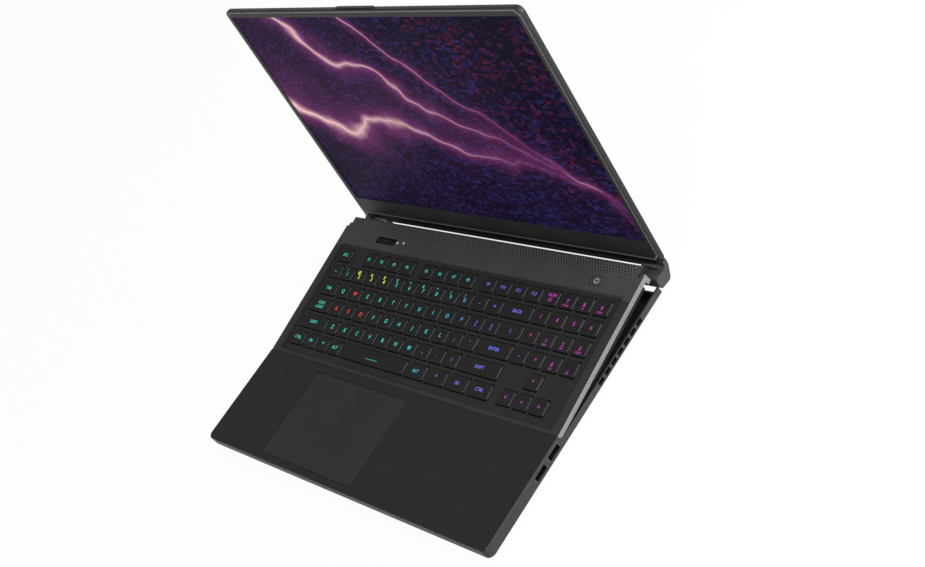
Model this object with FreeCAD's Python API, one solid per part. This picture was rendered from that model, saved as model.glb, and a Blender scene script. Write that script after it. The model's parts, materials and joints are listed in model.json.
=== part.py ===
"""A seventeen inch laptop computer whose keyboard deck rises at the rear as the lid opens.

Sizes are in millimetres. Every piece is drawn with the lid closed: x to the right, y from the front
edge to the rear, z up from the desk. The deck and the lid are then turned into the open pose.
"""
import FreeCAD
import Part
import math
import os

V = FreeCAD.Vector

# Display and lid, which set the size of the case
SCREEN_WIDTH = 381.9
SCREEN_HEIGHT = 214.8
SIDE_BEZEL = 6.05
TOP_BEZEL = 6.9
CHIN = 19.9
LID_THICKNESS = 5.0
LID_GAP = 0.3
LID_OVERHANG = 0.6
LID_SKIN = 1.2
LID_WALL = 1.4
LID_REAR_RADIUS = 3.0
BEZEL_THICKNESS = 1.0
BEZEL_INSET = 0.4
PANEL_MARGIN = 2.2
PANEL_THICKNESS = 1.9
GASKET_INSET = 1.4
GASKET_WIDTH = 1.0
GASKET_HEIGHT = 0.15
TAIL_LENGTH = 7.6
TAIL_STEP = 2.0
TAIL_SIDE = 9.0
LIP_WIDTH = 50.0
LIP_DEPTH = 0.9
LIP_ROOT = 0.9
LIP_BELOW = 0.6
CAMERA_RADIUS = 1.3
CAMERA_WIDTH = 24.0
CAMERA_BOARD = 1.6
CAMERA_SUNK = 0.3

# Case
DECK_LENGTH = 140.0
TONGUE_LENGTH = 10.7
TONGUE_SIDE = 6.4
CASE_HEIGHT = 14.6
FOOT_HEIGHT = 1.2
EDGE_RISE = 3.4
EDGE_INSET = 9.0
WALL = 1.6
SKIN = 1.6
FLOOR = 1.4
PAN_WALL = 0.6
CORNER_RADIUS = 6.0
EDGE_CHAMFER = 0.8
SPLIT_GAP = 0.7
SPLIT_RADIUS = 3.0
RAIL_DROP = 4.1
RAIL_GAP = 0.4
RAIL_REACH = 4.2
PAN_REACH = 1.4
CORNER_BACK = 0.6
REAR_REACH = 21.0

# General clearances
FIT = 0.05
SEAT = 0.3
PAST = 1.0
RUNNING_CLEARANCE = 0.05
PRESS_CLEARANCE = 0.01

# Open pose and hinge
LID_OPEN = 98.0
DECK_TILT = 5.63
HINGE_BEHIND = 13.2
HINGE_DROP = 5.4
HINGE_PIN_RADIUS = 1.6
PIN_END = 1.0
BARREL_WIDTH = 25.0
BARREL_AHEAD = 6.7
BARREL_BEHIND = 4.4
BARREL_ABOVE = 3.4
BARREL_BELOW = 7.6
BARREL_ROUNDS = (2.0, 3.2, 3.8)
KNUCKLE_WIDTH = 5.7
LEAF_LENGTH = 28.0
LEAF_WIDTH = 6.0
LEAF_THICKNESS = 0.7
LIFT_RADIUS = 9.33
LIFT_ANGLE = 225.0
LIFT_PIN_RADIUS = 1.2
LIFT_CLEARANCE = 0.9
CRANK_HALF = 1.8
CRANK_TIP = 1.35
CRANK_THICKNESS = 1.6
LEG_WIDTH = 3.0
LEG_GAP = 0.8
BRACKET_WIDTH = 16.0
BRACKET_GAP = 1.8
BRACKET_FOOT = 1.6
EAR_RADIUS = 2.7

# Deck
DECK_RIM = 9.6
WELL_FRONT = 4.0
WELL_SLOPE = 1.2
WELL_CORNER = 1.2
WELL_PLATE = 1.2
WELL_SEAT = 1.5
CONTROL_STRIP = 18.0
DECK_WALL = 2.0
PIVOT_INSET = 2.5
PIVOT_DROP = 3.2
PIVOT_PIN_RADIUS = 1.0
PIVOT_SPAN = (11.0, 25.0)
STAND_WIDTH = 4.0
STAND_HALF = 1.3
STAND_ROOM = 0.7
STAND_FOOT = (8.0, 1.4)
LUG_HALF = 1.7
BAFFLE_THICKNESS = 1.2
BAFFLE_GAP = 1.0
BAFFLE_ENDS = (12.0, 4.0)
FAIRING_RISE = 0.6
GRILLE_THICKNESS = 0.8
GRILLE_SIDE = 6.0
GRILLE_EDGE = 1.3
GRILLE_HOLES = 16
GRILLE_ROWS = 2
GRILLE_OPEN = 0.34

# Keys
KEYBOARD_UNITS = 18.91
KEY_ROWS = 6
KEYBOARD_SIDE = 7.814
KEYBOARD_FRONT = 11.7
KEYBOARD_BEHIND = 5.4
KEY_GAP = 3.9
KEY_ROW_GAP = 3.7
KEY_TAPER = 0.5
KEY_CLEARANCE = 0.4
KEY_TRAVEL = 1.7
KEY_SINK = 0.2
KEY_HEIGHT = 2.0
PLATE_THICKNESS = 0.7
PLATE_SIDE = 4.0
PLATE_RAIL = 1.2

# Controls
WHEEL_SIDE = 71.8
WHEEL_LENGTH = 26.0
WHEEL_RADIUS = 3.4
WHEEL_TEETH = 16
WHEEL_GROOVE = 0.35
WHEEL_AXLE_RADIUS = 1.0
WHEEL_AXLE_END = 2.6
WHEEL_SLOT = (28.8, 7.0)
WHEEL_SINK = 0.2
EAR_HALF = 2.6
EAR_WIDTH = 1.6
POWER_SIDE = 45.2
POWER_SIZE = (13.0, 8.0)
POWER_TRAVEL = 0.6
CONTROL_CORNER = 1.5
TOUCHPAD_OFFSET = -44.75
TOUCHPAD_WIDTH = 133.0
TOUCHPAD_FRONT = 6.6
TOUCHPAD_BEHIND = 8.4
TOUCHPAD_CORNER = 1.2
TOUCHPAD_THICKNESS = 1.2
TOUCHPAD_SINK = 0.1
TOUCHPAD_CLEARANCE = 0.4
PAD_PIVOT_RADIUS = 0.6
PAD_PIVOT_INSET = 3.0
PAD_PIVOT_LENGTH = 60.0
BRACKET_RIM = 3.6
BRACKET_HEIGHT = 1.8
BRACKET_POCKET = 1.0
BRACKET_WINDOW = 12.0
SADDLE_HALF = 1.2

# Ports and vents
PORT_Z = 9.4
PORT_RECESS = 0.2
PORT_SHELL = 0.4
PORT_BACK = 1.0
USB_MOUTH = (14.2, 5.9)
USB_LENGTH = 15.0
USB_TONGUE_BACK = 4.6
USB_TONGUE_HALF = 5.5
USB_TONGUE = (0.2, 1.9)
USB_BEFORE_SPLIT = (28.5, 10.0)
LEFT_TONGUE_BACK = 3.0
VENT_SIZE = (6.6, 3.6)
VENT_PITCH = 9.3
VENT_COUNT = 7
VENT_BEHIND_SPLIT = 56.5
VENT_BELOW_RAIL = 0.9
JACK_SHARE = 0.1386
JACK_RADIUS = 1.8
JACK_NOSE = 3.0
JACK_DEPTH = 14.0
JACK_BLOCK = (3.4, 3.2)

# Left ports: share of the palm rest's depth, then mouth, length and tongue sizes
LEFT_PORTS = {
    "power": (0.277, (10.6, 5.4), 12.0, (5.0, 1.6)),
    "video": (0.495, (15.0, 5.6), 12.0, (11.0, 1.2)),
    "front_data": (0.693, (9.2, 3.4), 9.0, (6.6, 0.7)),
    "rear_data": (0.832, (9.2, 3.4), 9.0, (6.6, 0.7)),
}

# Underside
SCREW_HEAD = (2.4, 0.5)
SCREW_SHANK = 1.1
SCREW_SIDES = 6
SCREW_EDGE = 19.0
SCREW_FRONT = 34.0
SCREW_REAR = 9.0
FOOT_DEPTH = 9.0
FOOT_CORNER = 2.5
FRONT_FOOT_EDGE = 16.0
FRONT_FOOT_SIDE = 47.0
REAR_FOOT_EDGE = 6.0
REAR_FOOT_SIDE = 45.0
REAR_FOOT_LENGTH = 80.0
INTAKE_RADIUS = 28.0
INTAKE_SLOTS = 7
INTAKE_WIDTH = 2.6
HOOD_DROP = 0.3
HOOD_WALL = 1.4
HOOD_CHAMFER = 1.5
OUTLET_COUNT = 16
OUTLET_OPEN = 0.36
OUTLET_EDGES = (1.2, 2.2)

# Inside
SPEAKER_WIDTH = 26.0
SPEAKER_GAP = 4.4
SPEAKER_FRONT = 42.0
BATTERY_GAP = 8.5
BATTERY_FRONT = 30.0
BATTERY_BEHIND = 5.0
CELL_COUNT = 4
CELL_GAP = 0.5
CELL_STRIP = (3.0, 3.7)
FAN_SIZE = 80.0
FAN_HEIGHT = 4.4
FAN_SIDE = 63.0
FAN_BEFORE_REAR = 56.0
FAN_WALL = 2.0
FAN_PLATES = (0.8, 0.6)
FAN_INLET = 24.0
FAN_BRIDGE = 3.0
FAN_BLADES = 13
FAN_SWEEP = 24.0
FAN_PIN_RADIUS = 1.5
HUB_RADIUS = 13.0
BLADE_THICKNESS = 0.8
BLADE_GAP = 4.0
ROTOR_GAP = 1.2
FIN_COUNT = 12
FIN_THICKNESS = 0.6
FIN_GAP = 1.0
BOARD_GAP = 3.0
BOARD_FRONT = 5.0
BOARD_BEHIND = 12.0
BOARD_THICKNESS = 1.2
CHIP_HEIGHT = 1.2
CARD_HEIGHT = 1.6
CARD_FRONT = 13.0
MEMORY_SPAN = (13.0, 10.0)
MEMORY_DEPTH = 30.0
STORAGE_SPAN = (4.0, 7.0)
STORAGE_DEPTH = 22.0
PIPE_HALF = 4.0
PIPE_THICKNESS = 1.2

# Chips on the board: place from the middle line and the fans' line, half width and half depth
CHIPS = [(-28.0, 11.0, 14.0, 11.0), (30.0, 7.0, 17.0, 17.0)]

# Derived widths
HALF = SCREEN_WIDTH / 2 + SIDE_BEZEL
TONGUE_HALF = HALF - TONGUE_SIDE
WELL_HALF = HALF - DECK_RIM
GRILLE_HALF = TONGUE_HALF - GRILLE_SIDE
BARREL_IN = HALF - BARREL_WIDTH
KNUCKLE_IN = HALF - KNUCKLE_WIDTH
LEG_OUT = BARREL_IN - LEG_GAP
LEG_IN = LEG_OUT - LEG_WIDTH
BRACKET_OUT = LEG_IN - BRACKET_GAP
BRACKET_IN = BRACKET_OUT - BRACKET_WIDTH
EXHAUST_HALF = BRACKET_IN - BRACKET_GAP
PIVOT_OUT = HALF - PIVOT_SPAN[0]
PIVOT_IN = HALF - PIVOT_SPAN[1]
STAND_IN = PIVOT_OUT - STAND_WIDTH
WHEEL_X = -HALF + WHEEL_SIDE
POWER_X = HALF - POWER_SIDE
SPEAKER_OUT = HALF - WALL - USB_LENGTH - SPEAKER_GAP
BATTERY_HALF = SPEAKER_OUT - SPEAKER_WIDTH - BATTERY_GAP
FAN_X = HALF - FAN_SIDE
BOARD_HALF = FAN_X - FAN_SIZE / 2 - BOARD_GAP
KEY_PITCH_X = (2 * (WELL_HALF - KEYBOARD_SIDE) + KEY_GAP) / KEYBOARD_UNITS
KEYBOARD_LEFT = KEYBOARD_SIDE - WELL_HALF

# Derived stations from front to rear
LID_LENGTH = TOP_BEZEL + SCREEN_HEIGHT + CHIN
SCREEN_REAR = TOP_BEZEL + SCREEN_HEIGHT
DECK_REAR = LID_LENGTH - LID_OVERHANG
PALM_DEPTH = DECK_REAR - DECK_LENGTH
DECK_FRONT = PALM_DEPTH + SPLIT_GAP
TONGUE_REAR = DECK_REAR + TONGUE_LENGTH
RAIL_END = DECK_REAR + RAIL_REACH
PAN_END = DECK_REAR + PAN_REACH
CORNER_WALL = DECK_REAR - CORNER_BACK
CASE_REAR = DECK_REAR + REAR_REACH
HINGE_Y = DECK_REAR + HINGE_BEHIND
PIVOT_Y = DECK_FRONT + PIVOT_INSET
WELL_Y0 = PALM_DEPTH + WELL_FRONT
WELL_Y1 = DECK_REAR - CONTROL_STRIP
KEYS_Y0 = PALM_DEPTH + KEYBOARD_FRONT
KEY_PITCH_Y = (WELL_Y1 - KEYBOARD_BEHIND - KEYS_Y0 + KEY_ROW_GAP) / KEY_ROWS
CONTROL_Y = DECK_REAR - CONTROL_STRIP / 2
GRILLE_REAR = TONGUE_REAR - PAST
TOUCHPAD_REAR = PALM_DEPTH - TOUCHPAD_BEHIND
PAD_PIVOT_Y = TOUCHPAD_REAR - PAD_PIVOT_INSET
JACK_Y = PALM_DEPTH * JACK_SHARE
BATTERY_REAR = PALM_DEPTH - BATTERY_BEHIND
FAN_Y = DECK_REAR - FAN_BEFORE_REAR
FIN_FRONT = FAN_Y + FAN_SIZE / 2 + FIN_GAP
FIN_REAR = CORNER_WALL - WALL - PAN_WALL
CAMERA_FRONT = LID_WALL + SEAT
CAMERA_REAR = TOP_BEZEL - PANEL_MARGIN - SEAT
CAMERA_Y = (CAMERA_FRONT + CAMERA_REAR) / 2
USB_CENTRES = [PALM_DEPTH - before for before in USB_BEFORE_SPLIT]

# Derived levels
SIDE_BOTTOM = FOOT_HEIGHT + EDGE_RISE
FLOOR_TOP = FOOT_HEIGHT + FLOOR
INNER_FLOOR = FLOOR_TOP + SEAT
RAIL_TOP = CASE_HEIGHT - RAIL_DROP
DECK_BOTTOM = RAIL_TOP + RAIL_GAP
UNDER_SKIN = CASE_HEIGHT - SKIN
HINGE_Z = CASE_HEIGHT - HINGE_DROP
PIVOT_Z = CASE_HEIGHT - PIVOT_DROP
LID_FACE = CASE_HEIGHT + LID_GAP
LID_TOP = LID_FACE + LID_THICKNESS
BEZEL_BACK = LID_FACE + BEZEL_THICKNESS
LEAF_HIGH = LID_TOP - LID_SKIN - FIT
LEAF_LOW = LEAF_HIGH - LEAF_THICKNESS
WELL_UNDER = UNDER_SKIN - WELL_PLATE
KEY_TOP = CASE_HEIGHT - KEY_SINK
KEY_BOTTOM = KEY_TOP - KEY_HEIGHT
PLATE_TOP = KEY_BOTTOM - KEY_TRAVEL - SEAT
WHEEL_Z = CASE_HEIGHT - WHEEL_SINK - WHEEL_RADIUS
PAD_TOP = CASE_HEIGHT - TOUCHPAD_SINK
PAD_BOTTOM = PAD_TOP - TOUCHPAD_THICKNESS
PAD_PIVOT_Z = PAD_BOTTOM - PAD_PIVOT_RADIUS / 3
BOARD_TOP = INNER_FLOOR + BOARD_THICKNESS
CHIP_TOP = BOARD_TOP + CHIP_HEIGHT
LIFT_Y = HINGE_Y + LIFT_RADIUS * math.cos(math.radians(LIFT_ANGLE))
LIFT_Z = HINGE_Z + LIFT_RADIUS * math.sin(math.radians(LIFT_ANGLE))


def turned(y, z, about_y, about_z, degrees):
    """A point of the closed drawing after a turn about an axis along x."""
    a = math.radians(degrees)
    dy, dz = y - about_y, z - about_z
    return about_y + dy * math.cos(a) - dz * math.sin(a), about_z + dy * math.sin(a) + dz * math.cos(a)


LIP_OPEN = turned(-LIP_DEPTH, LID_TOP - EDGE_CHAMFER, HINGE_Y, HINGE_Z, -LID_OPEN)[0]
EDGE_OPEN = turned(0.0, LID_TOP - EDGE_CHAMFER, HINGE_Y, HINGE_Z, -LID_OPEN)[0]
BACK_OPEN = turned(EDGE_CHAMFER, LID_TOP, HINGE_Y, HINGE_Z, -LID_OPEN)[0]
ORIGIN_Y = max(LIP_OPEN, EDGE_OPEN, BACK_OPEN) / 2


def run(row, first, count):
    """A run of single-unit keys: row, first unit, width in units."""
    return [(row, first + i, 1.0) for i in range(count)]


# Key layout: row 0 is the function row at the rear, positions and widths are in key units
NUMPAD_UNIT = KEYBOARD_UNITS - 4.0
KEYS = {
    "function_keys": [(0, 0.0, 1.03)] + run(0, 1.98, 4) + run(0, 6.45, 4) + run(0, 10.85, 4),
    "number_keys": [(1, 0.0, 0.98)] + run(1, 0.98, 12),
    "backspace_key": [(1, 12.98, 1.93)],
    "tab_key": [(2, 0.0, 1.44)],
    "upper_letter_keys": run(2, 1.44, 12),
    "backslash_key": [(2, 13.44, 1.47)],
    "caps_lock_key": [(3, 0.0, 1.69)],
    "home_letter_keys": run(3, 1.69, 11),
    "enter_key": [(3, 12.69, 2.22)],
    "left_shift_key": [(4, 0.0, 2.21)],
    "lower_letter_keys": run(4, 2.21, 10),
    "right_shift_key": [(4, 12.21, 2.70)],
    "modifier_keys": [(5, 0.0, 1.23)] + run(5, 1.23, 3)
    + [(5, 9.21, 1.44), (5, 10.65, 1.42), (5, 12.07, 1.45), (5, 13.52, 1.49)],
    "space_bar": [(5, 4.23, 4.98)],
    "numpad_keys": [key for row in range(4) for key in run(row, NUMPAD_UNIT, 4)],
    "up_key": run(4, NUMPAD_UNIT + 1.5, 1),
    "left_key": run(5, NUMPAD_UNIT + 0.5, 1),
    "down_key": run(5, NUMPAD_UNIT + 1.5, 1),
    "right_key": run(5, NUMPAD_UNIT + 2.5, 1),
}


def key_cell(key):
    """The rectangle of one keycap at its foot: x0, x1, y0, y1."""
    row, first, units = key
    x0 = KEYBOARD_LEFT + first * KEY_PITCH_X
    x1 = x0 + units * KEY_PITCH_X - KEY_GAP
    y0 = KEYS_Y0 + (KEY_ROWS - 1 - row) * KEY_PITCH_Y
    return x0, x1, y0, y0 + KEY_PITCH_Y - KEY_ROW_GAP


def box(x0, x1, y0, y1, z0, z1):
    """A box between two corners."""
    return Part.makeBox(x1 - x0, y1 - y0, z1 - z0, V(x0, y0, z0))


def mirrored(solid):
    """The same piece on the other side of the case."""
    return solid.mirror(V(0, 0, 0), V(1, 0, 0))


def both_sides(solid):
    """A piece of the right side and its mirror image on the left."""
    return [solid, mirrored(solid)]


def rod(radius, x0, x1, y, z):
    """A cylinder along x."""
    return Part.makeCylinder(radius, x1 - x0, V(x0, y, z), V(1, 0, 0))


def post(radius, x, y, z0, z1):
    """A cylinder along z."""
    return Part.makeCylinder(radius, z1 - z0, V(x, y, z0))


def rounded_wire(corners):
    """A closed outline from corners with a radius each, where 0 leaves the corner sharp."""
    edges = []
    ends = []
    for i, (here, radius) in enumerate(corners):
        if radius == 0:
            ends.append((here, here))
            continue
        back = (corners[i - 1][0] - here).normalize()
        ahead = (corners[(i + 1) % len(corners)][0] - here).normalize()
        half_angle = back.getAngle(ahead) / 2
        reach = radius / math.tan(half_angle)
        to_centre = (back + ahead).normalize()
        middle = here + to_centre * (radius / math.sin(half_angle) - radius)
        first, last = here + back * reach, here + ahead * reach
        edges.append(Part.Arc(first, middle, last).toShape())
        ends.append((first, last))
    for i in range(len(ends)):
        edges.append(Part.makeLine(ends[i - 1][1], ends[i][0]))
    return Part.Wire(Part.__sortEdges__(edges))


def profile_x(points, x0, x1):
    """A side view drawn out along x, from corners (y, z, radius)."""
    wire = rounded_wire([(V(x0, y, z), radius) for y, z, radius in points])
    return Part.Face(wire).extrude(V(x1 - x0, 0, 0))


def plate_wire(x0, x1, y0, y1, z, front, rear):
    """The outline of a plate with rounded front and rear corners."""
    return rounded_wire([(V(x0, y0, z), front), (V(x1, y0, z), front), (V(x1, y1, z), rear), (V(x0, y1, z), rear)])


def plate(x0, x1, y0, y1, z0, z1, front, rear):
    """A flat plate with rounded front and rear corners."""
    return Part.Face(plate_wire(x0, x1, y0, y1, z0, front, rear)).extrude(V(0, 0, z1 - z0))


def face(corners):
    """A flat face inside straight edges."""
    return Part.Face(Part.makePolygon(corners + corners[:1]))


def rectangle(x0, x1, y0, y1, z):
    """The four corners of a rectangle."""
    return [V(x0, y0, z), V(x1, y0, z), V(x1, y1, z), V(x0, y1, z)]


def octagon(x0, x1, y0, y1, z, cut):
    """A rectangle with its corners cut off, as eight corners."""
    low = [(x0 + cut, y0), (x1 - cut, y0), (x1, y0 + cut)]
    high = [(x1, y1 - cut), (x1 - cut, y1), (x0 + cut, y1)]
    return [V(x, y, z) for x, y in low + high + [(x0, y1 - cut), (x0, y0 + cut)]]


def tile(x0, x1, y0, y1, z0, z1, cut):
    """A flat plate with its corners cut off."""
    return face(octagon(x0, x1, y0, y1, z0, cut)).extrude(V(0, 0, z1 - z0))


def tapered(low, high):
    """A solid with flat sides between two outlines of the same number of corners."""
    sides = [face([low[i - 1], low[i], high[i], high[i - 1]]) for i in range(len(low))]
    return Part.makeSolid(Part.makeShell([face(low), face(high)] + sides))


def column(x, y, radius, sides, z0, z1):
    """A regular many-sided column along z."""
    steps = [2 * math.pi * i / sides for i in range(sides)]
    corners = [V(x + radius * math.cos(a), y + radius * math.sin(a), z0) for a in steps]
    return face(corners).extrude(V(0, 0, z1 - z0))


def loft(lower, upper):
    """A solid with flat or ruled sides between two outlines."""
    return Part.makeLoft([lower, upper], True, True)


def edges_at(solid, z):
    """The edges that lie flat at one height."""
    flat = [e for e in solid.Edges if e.BoundBox.ZLength < 1e-6]
    return [e for e in flat if abs(e.BoundBox.ZMin - z) < 1e-6]


def union(solids):
    """One solid from overlapping ones."""
    return solids[0].multiFuse(solids[1:]).removeSplitter()


def deck_bay(front, bottom, rear, top, half):
    """The deck's side view drawn out across the case, rounded at its front foot."""
    return profile_x([(front, top, 0), (front, bottom, SPLIT_RADIUS), (rear, bottom, 0), (rear, top, 0)], -half, half)


def usb_box(y, grow, x0, x1):
    """A box in the outline of one right socket."""
    wide, high = USB_MOUTH[0] / 2 + grow, USB_MOUTH[1] / 2 + grow
    return box(x0, x1, y - wide, y + wide, PORT_Z - high, PORT_Z + high)


def left_box(name, grow, x0, x1):
    """A box in the outline of one left socket."""
    share, mouth, _, _ = LEFT_PORTS[name]
    y, wide, high = PALM_DEPTH * share, mouth[0] / 2 + grow, mouth[1] / 2 + grow
    return box(x0, x1, y - wide, y + wide, PORT_Z - high, PORT_Z + high)


def touchpad_plate(grow, z0, z1):
    """The touchpad's rectangle, grown on every side."""
    half = TOUCHPAD_WIDTH / 2 + grow
    x0, x1 = TOUCHPAD_OFFSET - half, TOUCHPAD_OFFSET + half
    return tile(x0, x1, TOUCHPAD_FRONT - grow, TOUCHPAD_REAR + grow, z0, z1, TOUCHPAD_CORNER)


def top_case():
    """Palm rest, front wall and the low side rails in one casting."""
    shell = plate(-HALF, HALF, 0.0, RAIL_END, SIDE_BOTTOM, CASE_HEIGHT, CORNER_RADIUS, 0)
    shell = shell.makeChamfer(EDGE_CHAMFER, edges_at(shell, CASE_HEIGHT))
    inner = HALF - WALL
    over, outside = CASE_HEIGHT + PAST, HALF + PAST
    cuts = [
        plate(-inner, inner, WALL, CORNER_WALL - WALL, 0.0, UNDER_SKIN, CORNER_RADIUS - WALL, 0),
        box(-inner, inner, CORNER_WALL, RAIL_END + PAST, 0.0, over),
        box(-EXHAUST_HALF, EXHAUST_HALF, PALM_DEPTH, RAIL_END + PAST, 0.0, over),
        deck_bay(PALM_DEPTH, RAIL_TOP, RAIL_END + PAST, over, outside),
        touchpad_plate(TOUCHPAD_CLEARANCE, 0.0, over),
        rod(JACK_NOSE + FIT, -outside, PAST - inner, JACK_Y, PORT_Z),
    ]
    cuts += [usb_box(y, FIT, inner - PAST, outside) for y in USB_CENTRES]
    cuts += [left_box(name, FIT, -outside, PAST - inner) for name in LEFT_PORTS]
    vent_top = RAIL_TOP - VENT_BELOW_RAIL
    for i in range(VENT_COUNT):
        y = PALM_DEPTH + VENT_BEHIND_SPLIT + i * VENT_PITCH - VENT_SIZE[0] / 2
        cuts += both_sides(box(inner - PAST, outside, y, y + VENT_SIZE[0], vent_top - VENT_SIZE[1], vent_top))
    return shell.cut(cuts).removeSplitter()


def screw_places():
    """The screws of the bottom cover, four along the front and four along the rear."""
    reach = HALF - SCREW_EDGE
    columns = [-reach, -reach / 3, reach / 3, reach]
    return [(x, y) for y in (SCREW_FRONT, DECK_REAR - SCREW_REAR) for x in columns]


def bottom_cover():
    """The pan below the case, with sloped edges, intake slots and screw holes."""
    inset = HALF - EDGE_INSET
    outer = loft(
        plate_wire(-inset, inset, EDGE_INSET, PAN_END, FOOT_HEIGHT, CORNER_RADIUS, 0),
        plate_wire(-HALF, HALF, 0.0, PAN_END, SIDE_BOTTOM, CORNER_RADIUS, 0),
    )
    back = CORNER_WALL - WALL
    low, high = inset - PAN_WALL, HALF - WALL - SEAT
    pocket = loft(
        plate_wire(-low, low, EDGE_INSET + PAN_WALL, back, FLOOR_TOP, CORNER_RADIUS, 0),
        plate_wire(-high, high, WALL + SEAT, back, SIDE_BOTTOM + PAST, CORNER_RADIUS, 0),
    )
    shelf = box(-BRACKET_OUT, BRACKET_OUT, PAN_END - PAST, CASE_REAR, FOOT_HEIGHT, FLOOR_TOP)
    above = FLOOR_TOP + PAST
    cuts = [pocket, box(-EXHAUST_HALF, EXHAUST_HALF, back - PAST, PAN_END + PAST, FLOOR_TOP, SIDE_BOTTOM + PAST)]
    for i in range(INTAKE_SLOTS):
        off = INTAKE_RADIUS * ((2 * i + 1) / INTAKE_SLOTS - 1)
        reach = math.sqrt(INTAKE_RADIUS ** 2 - off ** 2)
        y = FAN_Y + off - INTAKE_WIDTH / 2
        cuts += both_sides(box(FAN_X - reach, FAN_X + reach, y, y + INTAKE_WIDTH, 0.0, above))
    cuts += [column(x, y, SCREW_SHANK + FIT, SCREW_SIDES, 0.0, above) for x, y in screw_places()]
    return outer.fuse(shelf).cut(cuts).removeSplitter()


def bottom_screws():
    """Screw heads below the pan with their shanks in the holes."""
    radius, height = SCREW_HEAD
    screws = []
    for x, y in screw_places():
        head = column(x, y, radius, SCREW_SIDES, FOOT_HEIGHT - height, FOOT_HEIGHT)
        shank = column(x, y, SCREW_SHANK, SCREW_SIDES, FOOT_HEIGHT - height / 2, FLOOR_TOP)
        screws.append(union([head, shank]))
    return Part.makeCompound(screws)


def rubber_feet():
    """A long front foot and two rear ones."""
    half = HALF - FRONT_FOOT_SIDE
    front = tile(-half, half, FRONT_FOOT_EDGE, FRONT_FOOT_EDGE + FOOT_DEPTH, 0.0, FOOT_HEIGHT, FOOT_CORNER)
    out, rear = HALF - REAR_FOOT_SIDE, CASE_REAR - REAR_FOOT_EDGE
    back = tile(out - REAR_FOOT_LENGTH, out, rear - FOOT_DEPTH, rear, 0.0, FOOT_HEIGHT, FOOT_CORNER)
    return Part.makeCompound([front] + both_sides(back))


def rear_exhaust():
    """The hood between the hinges, with its row of outlet slots."""
    top = RAIL_TOP - HOOD_DROP
    half = EXHAUST_HALF - SEAT
    hood = box(-half, half, PAN_END, CASE_REAR, FLOOR_TOP, top)
    hood = hood.makeChamfer(HOOD_CHAMFER, [e for e in edges_at(hood, top) if e.BoundBox.YMin > PAN_END + PAST])
    inner = half - HOOD_WALL
    cuts = [box(-inner, inner, PAN_END - PAST, CASE_REAR - HOOD_WALL, FLOOR_TOP - PAST, top - HOOD_WALL)]
    pitch = 2 * inner / OUTLET_COUNT
    low, high = FLOOR_TOP + OUTLET_EDGES[0], top - OUTLET_EDGES[1]
    for i in range(OUTLET_COUNT):
        x = (i + 0.5) * pitch - inner
        reach = pitch * OUTLET_OPEN
        cuts.append(box(x - reach, x + reach, CASE_REAR - HOOD_WALL - PAST, CASE_REAR + PAST, low, high))
    return hood.cut(cuts).removeSplitter()


def usb_sockets():
    """Two sheet shells with a contact tongue, open to the right side."""
    back = HALF - WALL - USB_LENGTH
    low, high = PORT_Z + USB_TONGUE[0], PORT_Z + USB_TONGUE[1]
    solids = []
    for y in USB_CENTRES:
        shell = usb_box(y, 0.0, back, HALF - PORT_RECESS).cut(usb_box(y, -PORT_SHELL, back + PORT_BACK, HALF + PAST))
        tongue = box(back + FIT, HALF - USB_TONGUE_BACK, y - USB_TONGUE_HALF, y + USB_TONGUE_HALF, low, high)
        solids.append(union([shell, tongue]))
    return Part.makeCompound(solids)


def left_socket(name):
    """One sheet shell with a tongue, open to the left side."""
    share, _, length, (wide, high) = LEFT_PORTS[name]
    y, back = PALM_DEPTH * share, length + WALL - HALF
    shell = left_box(name, 0.0, PORT_RECESS - HALF, back)
    shell = shell.cut(left_box(name, -PORT_SHELL, -HALF - PAST, back - PORT_BACK))
    front = LEFT_TONGUE_BACK - HALF
    tongue = box(front, back - FIT, y - wide / 2, y + wide / 2, PORT_Z - high / 2, PORT_Z + high / 2)
    return union([shell, tongue])


def audio_jack():
    """A block with a round nose and a blind bore."""
    wide, high = JACK_BLOCK
    inner = WALL - HALF
    nose = rod(JACK_NOSE, -HALF, inner + PAST, JACK_Y, PORT_Z)
    block = box(inner + SEAT, inner + JACK_DEPTH, JACK_Y - wide, JACK_Y + wide, PORT_Z - high, PORT_Z + high)
    return union([nose, block]).cut(rod(JACK_RADIUS, -HALF - PAST, JACK_DEPTH - HALF, JACK_Y, PORT_Z))


def touchpad():
    """The clickable glass plate with the round rib that it rocks on."""
    half = PAD_PIVOT_LENGTH / 2
    rib = rod(PAD_PIVOT_RADIUS, TOUCHPAD_OFFSET - half, TOUCHPAD_OFFSET + half, PAD_PIVOT_Y, PAD_PIVOT_Z)
    return union([touchpad_plate(0.0, PAD_BOTTOM, PAD_TOP), rib])


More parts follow.
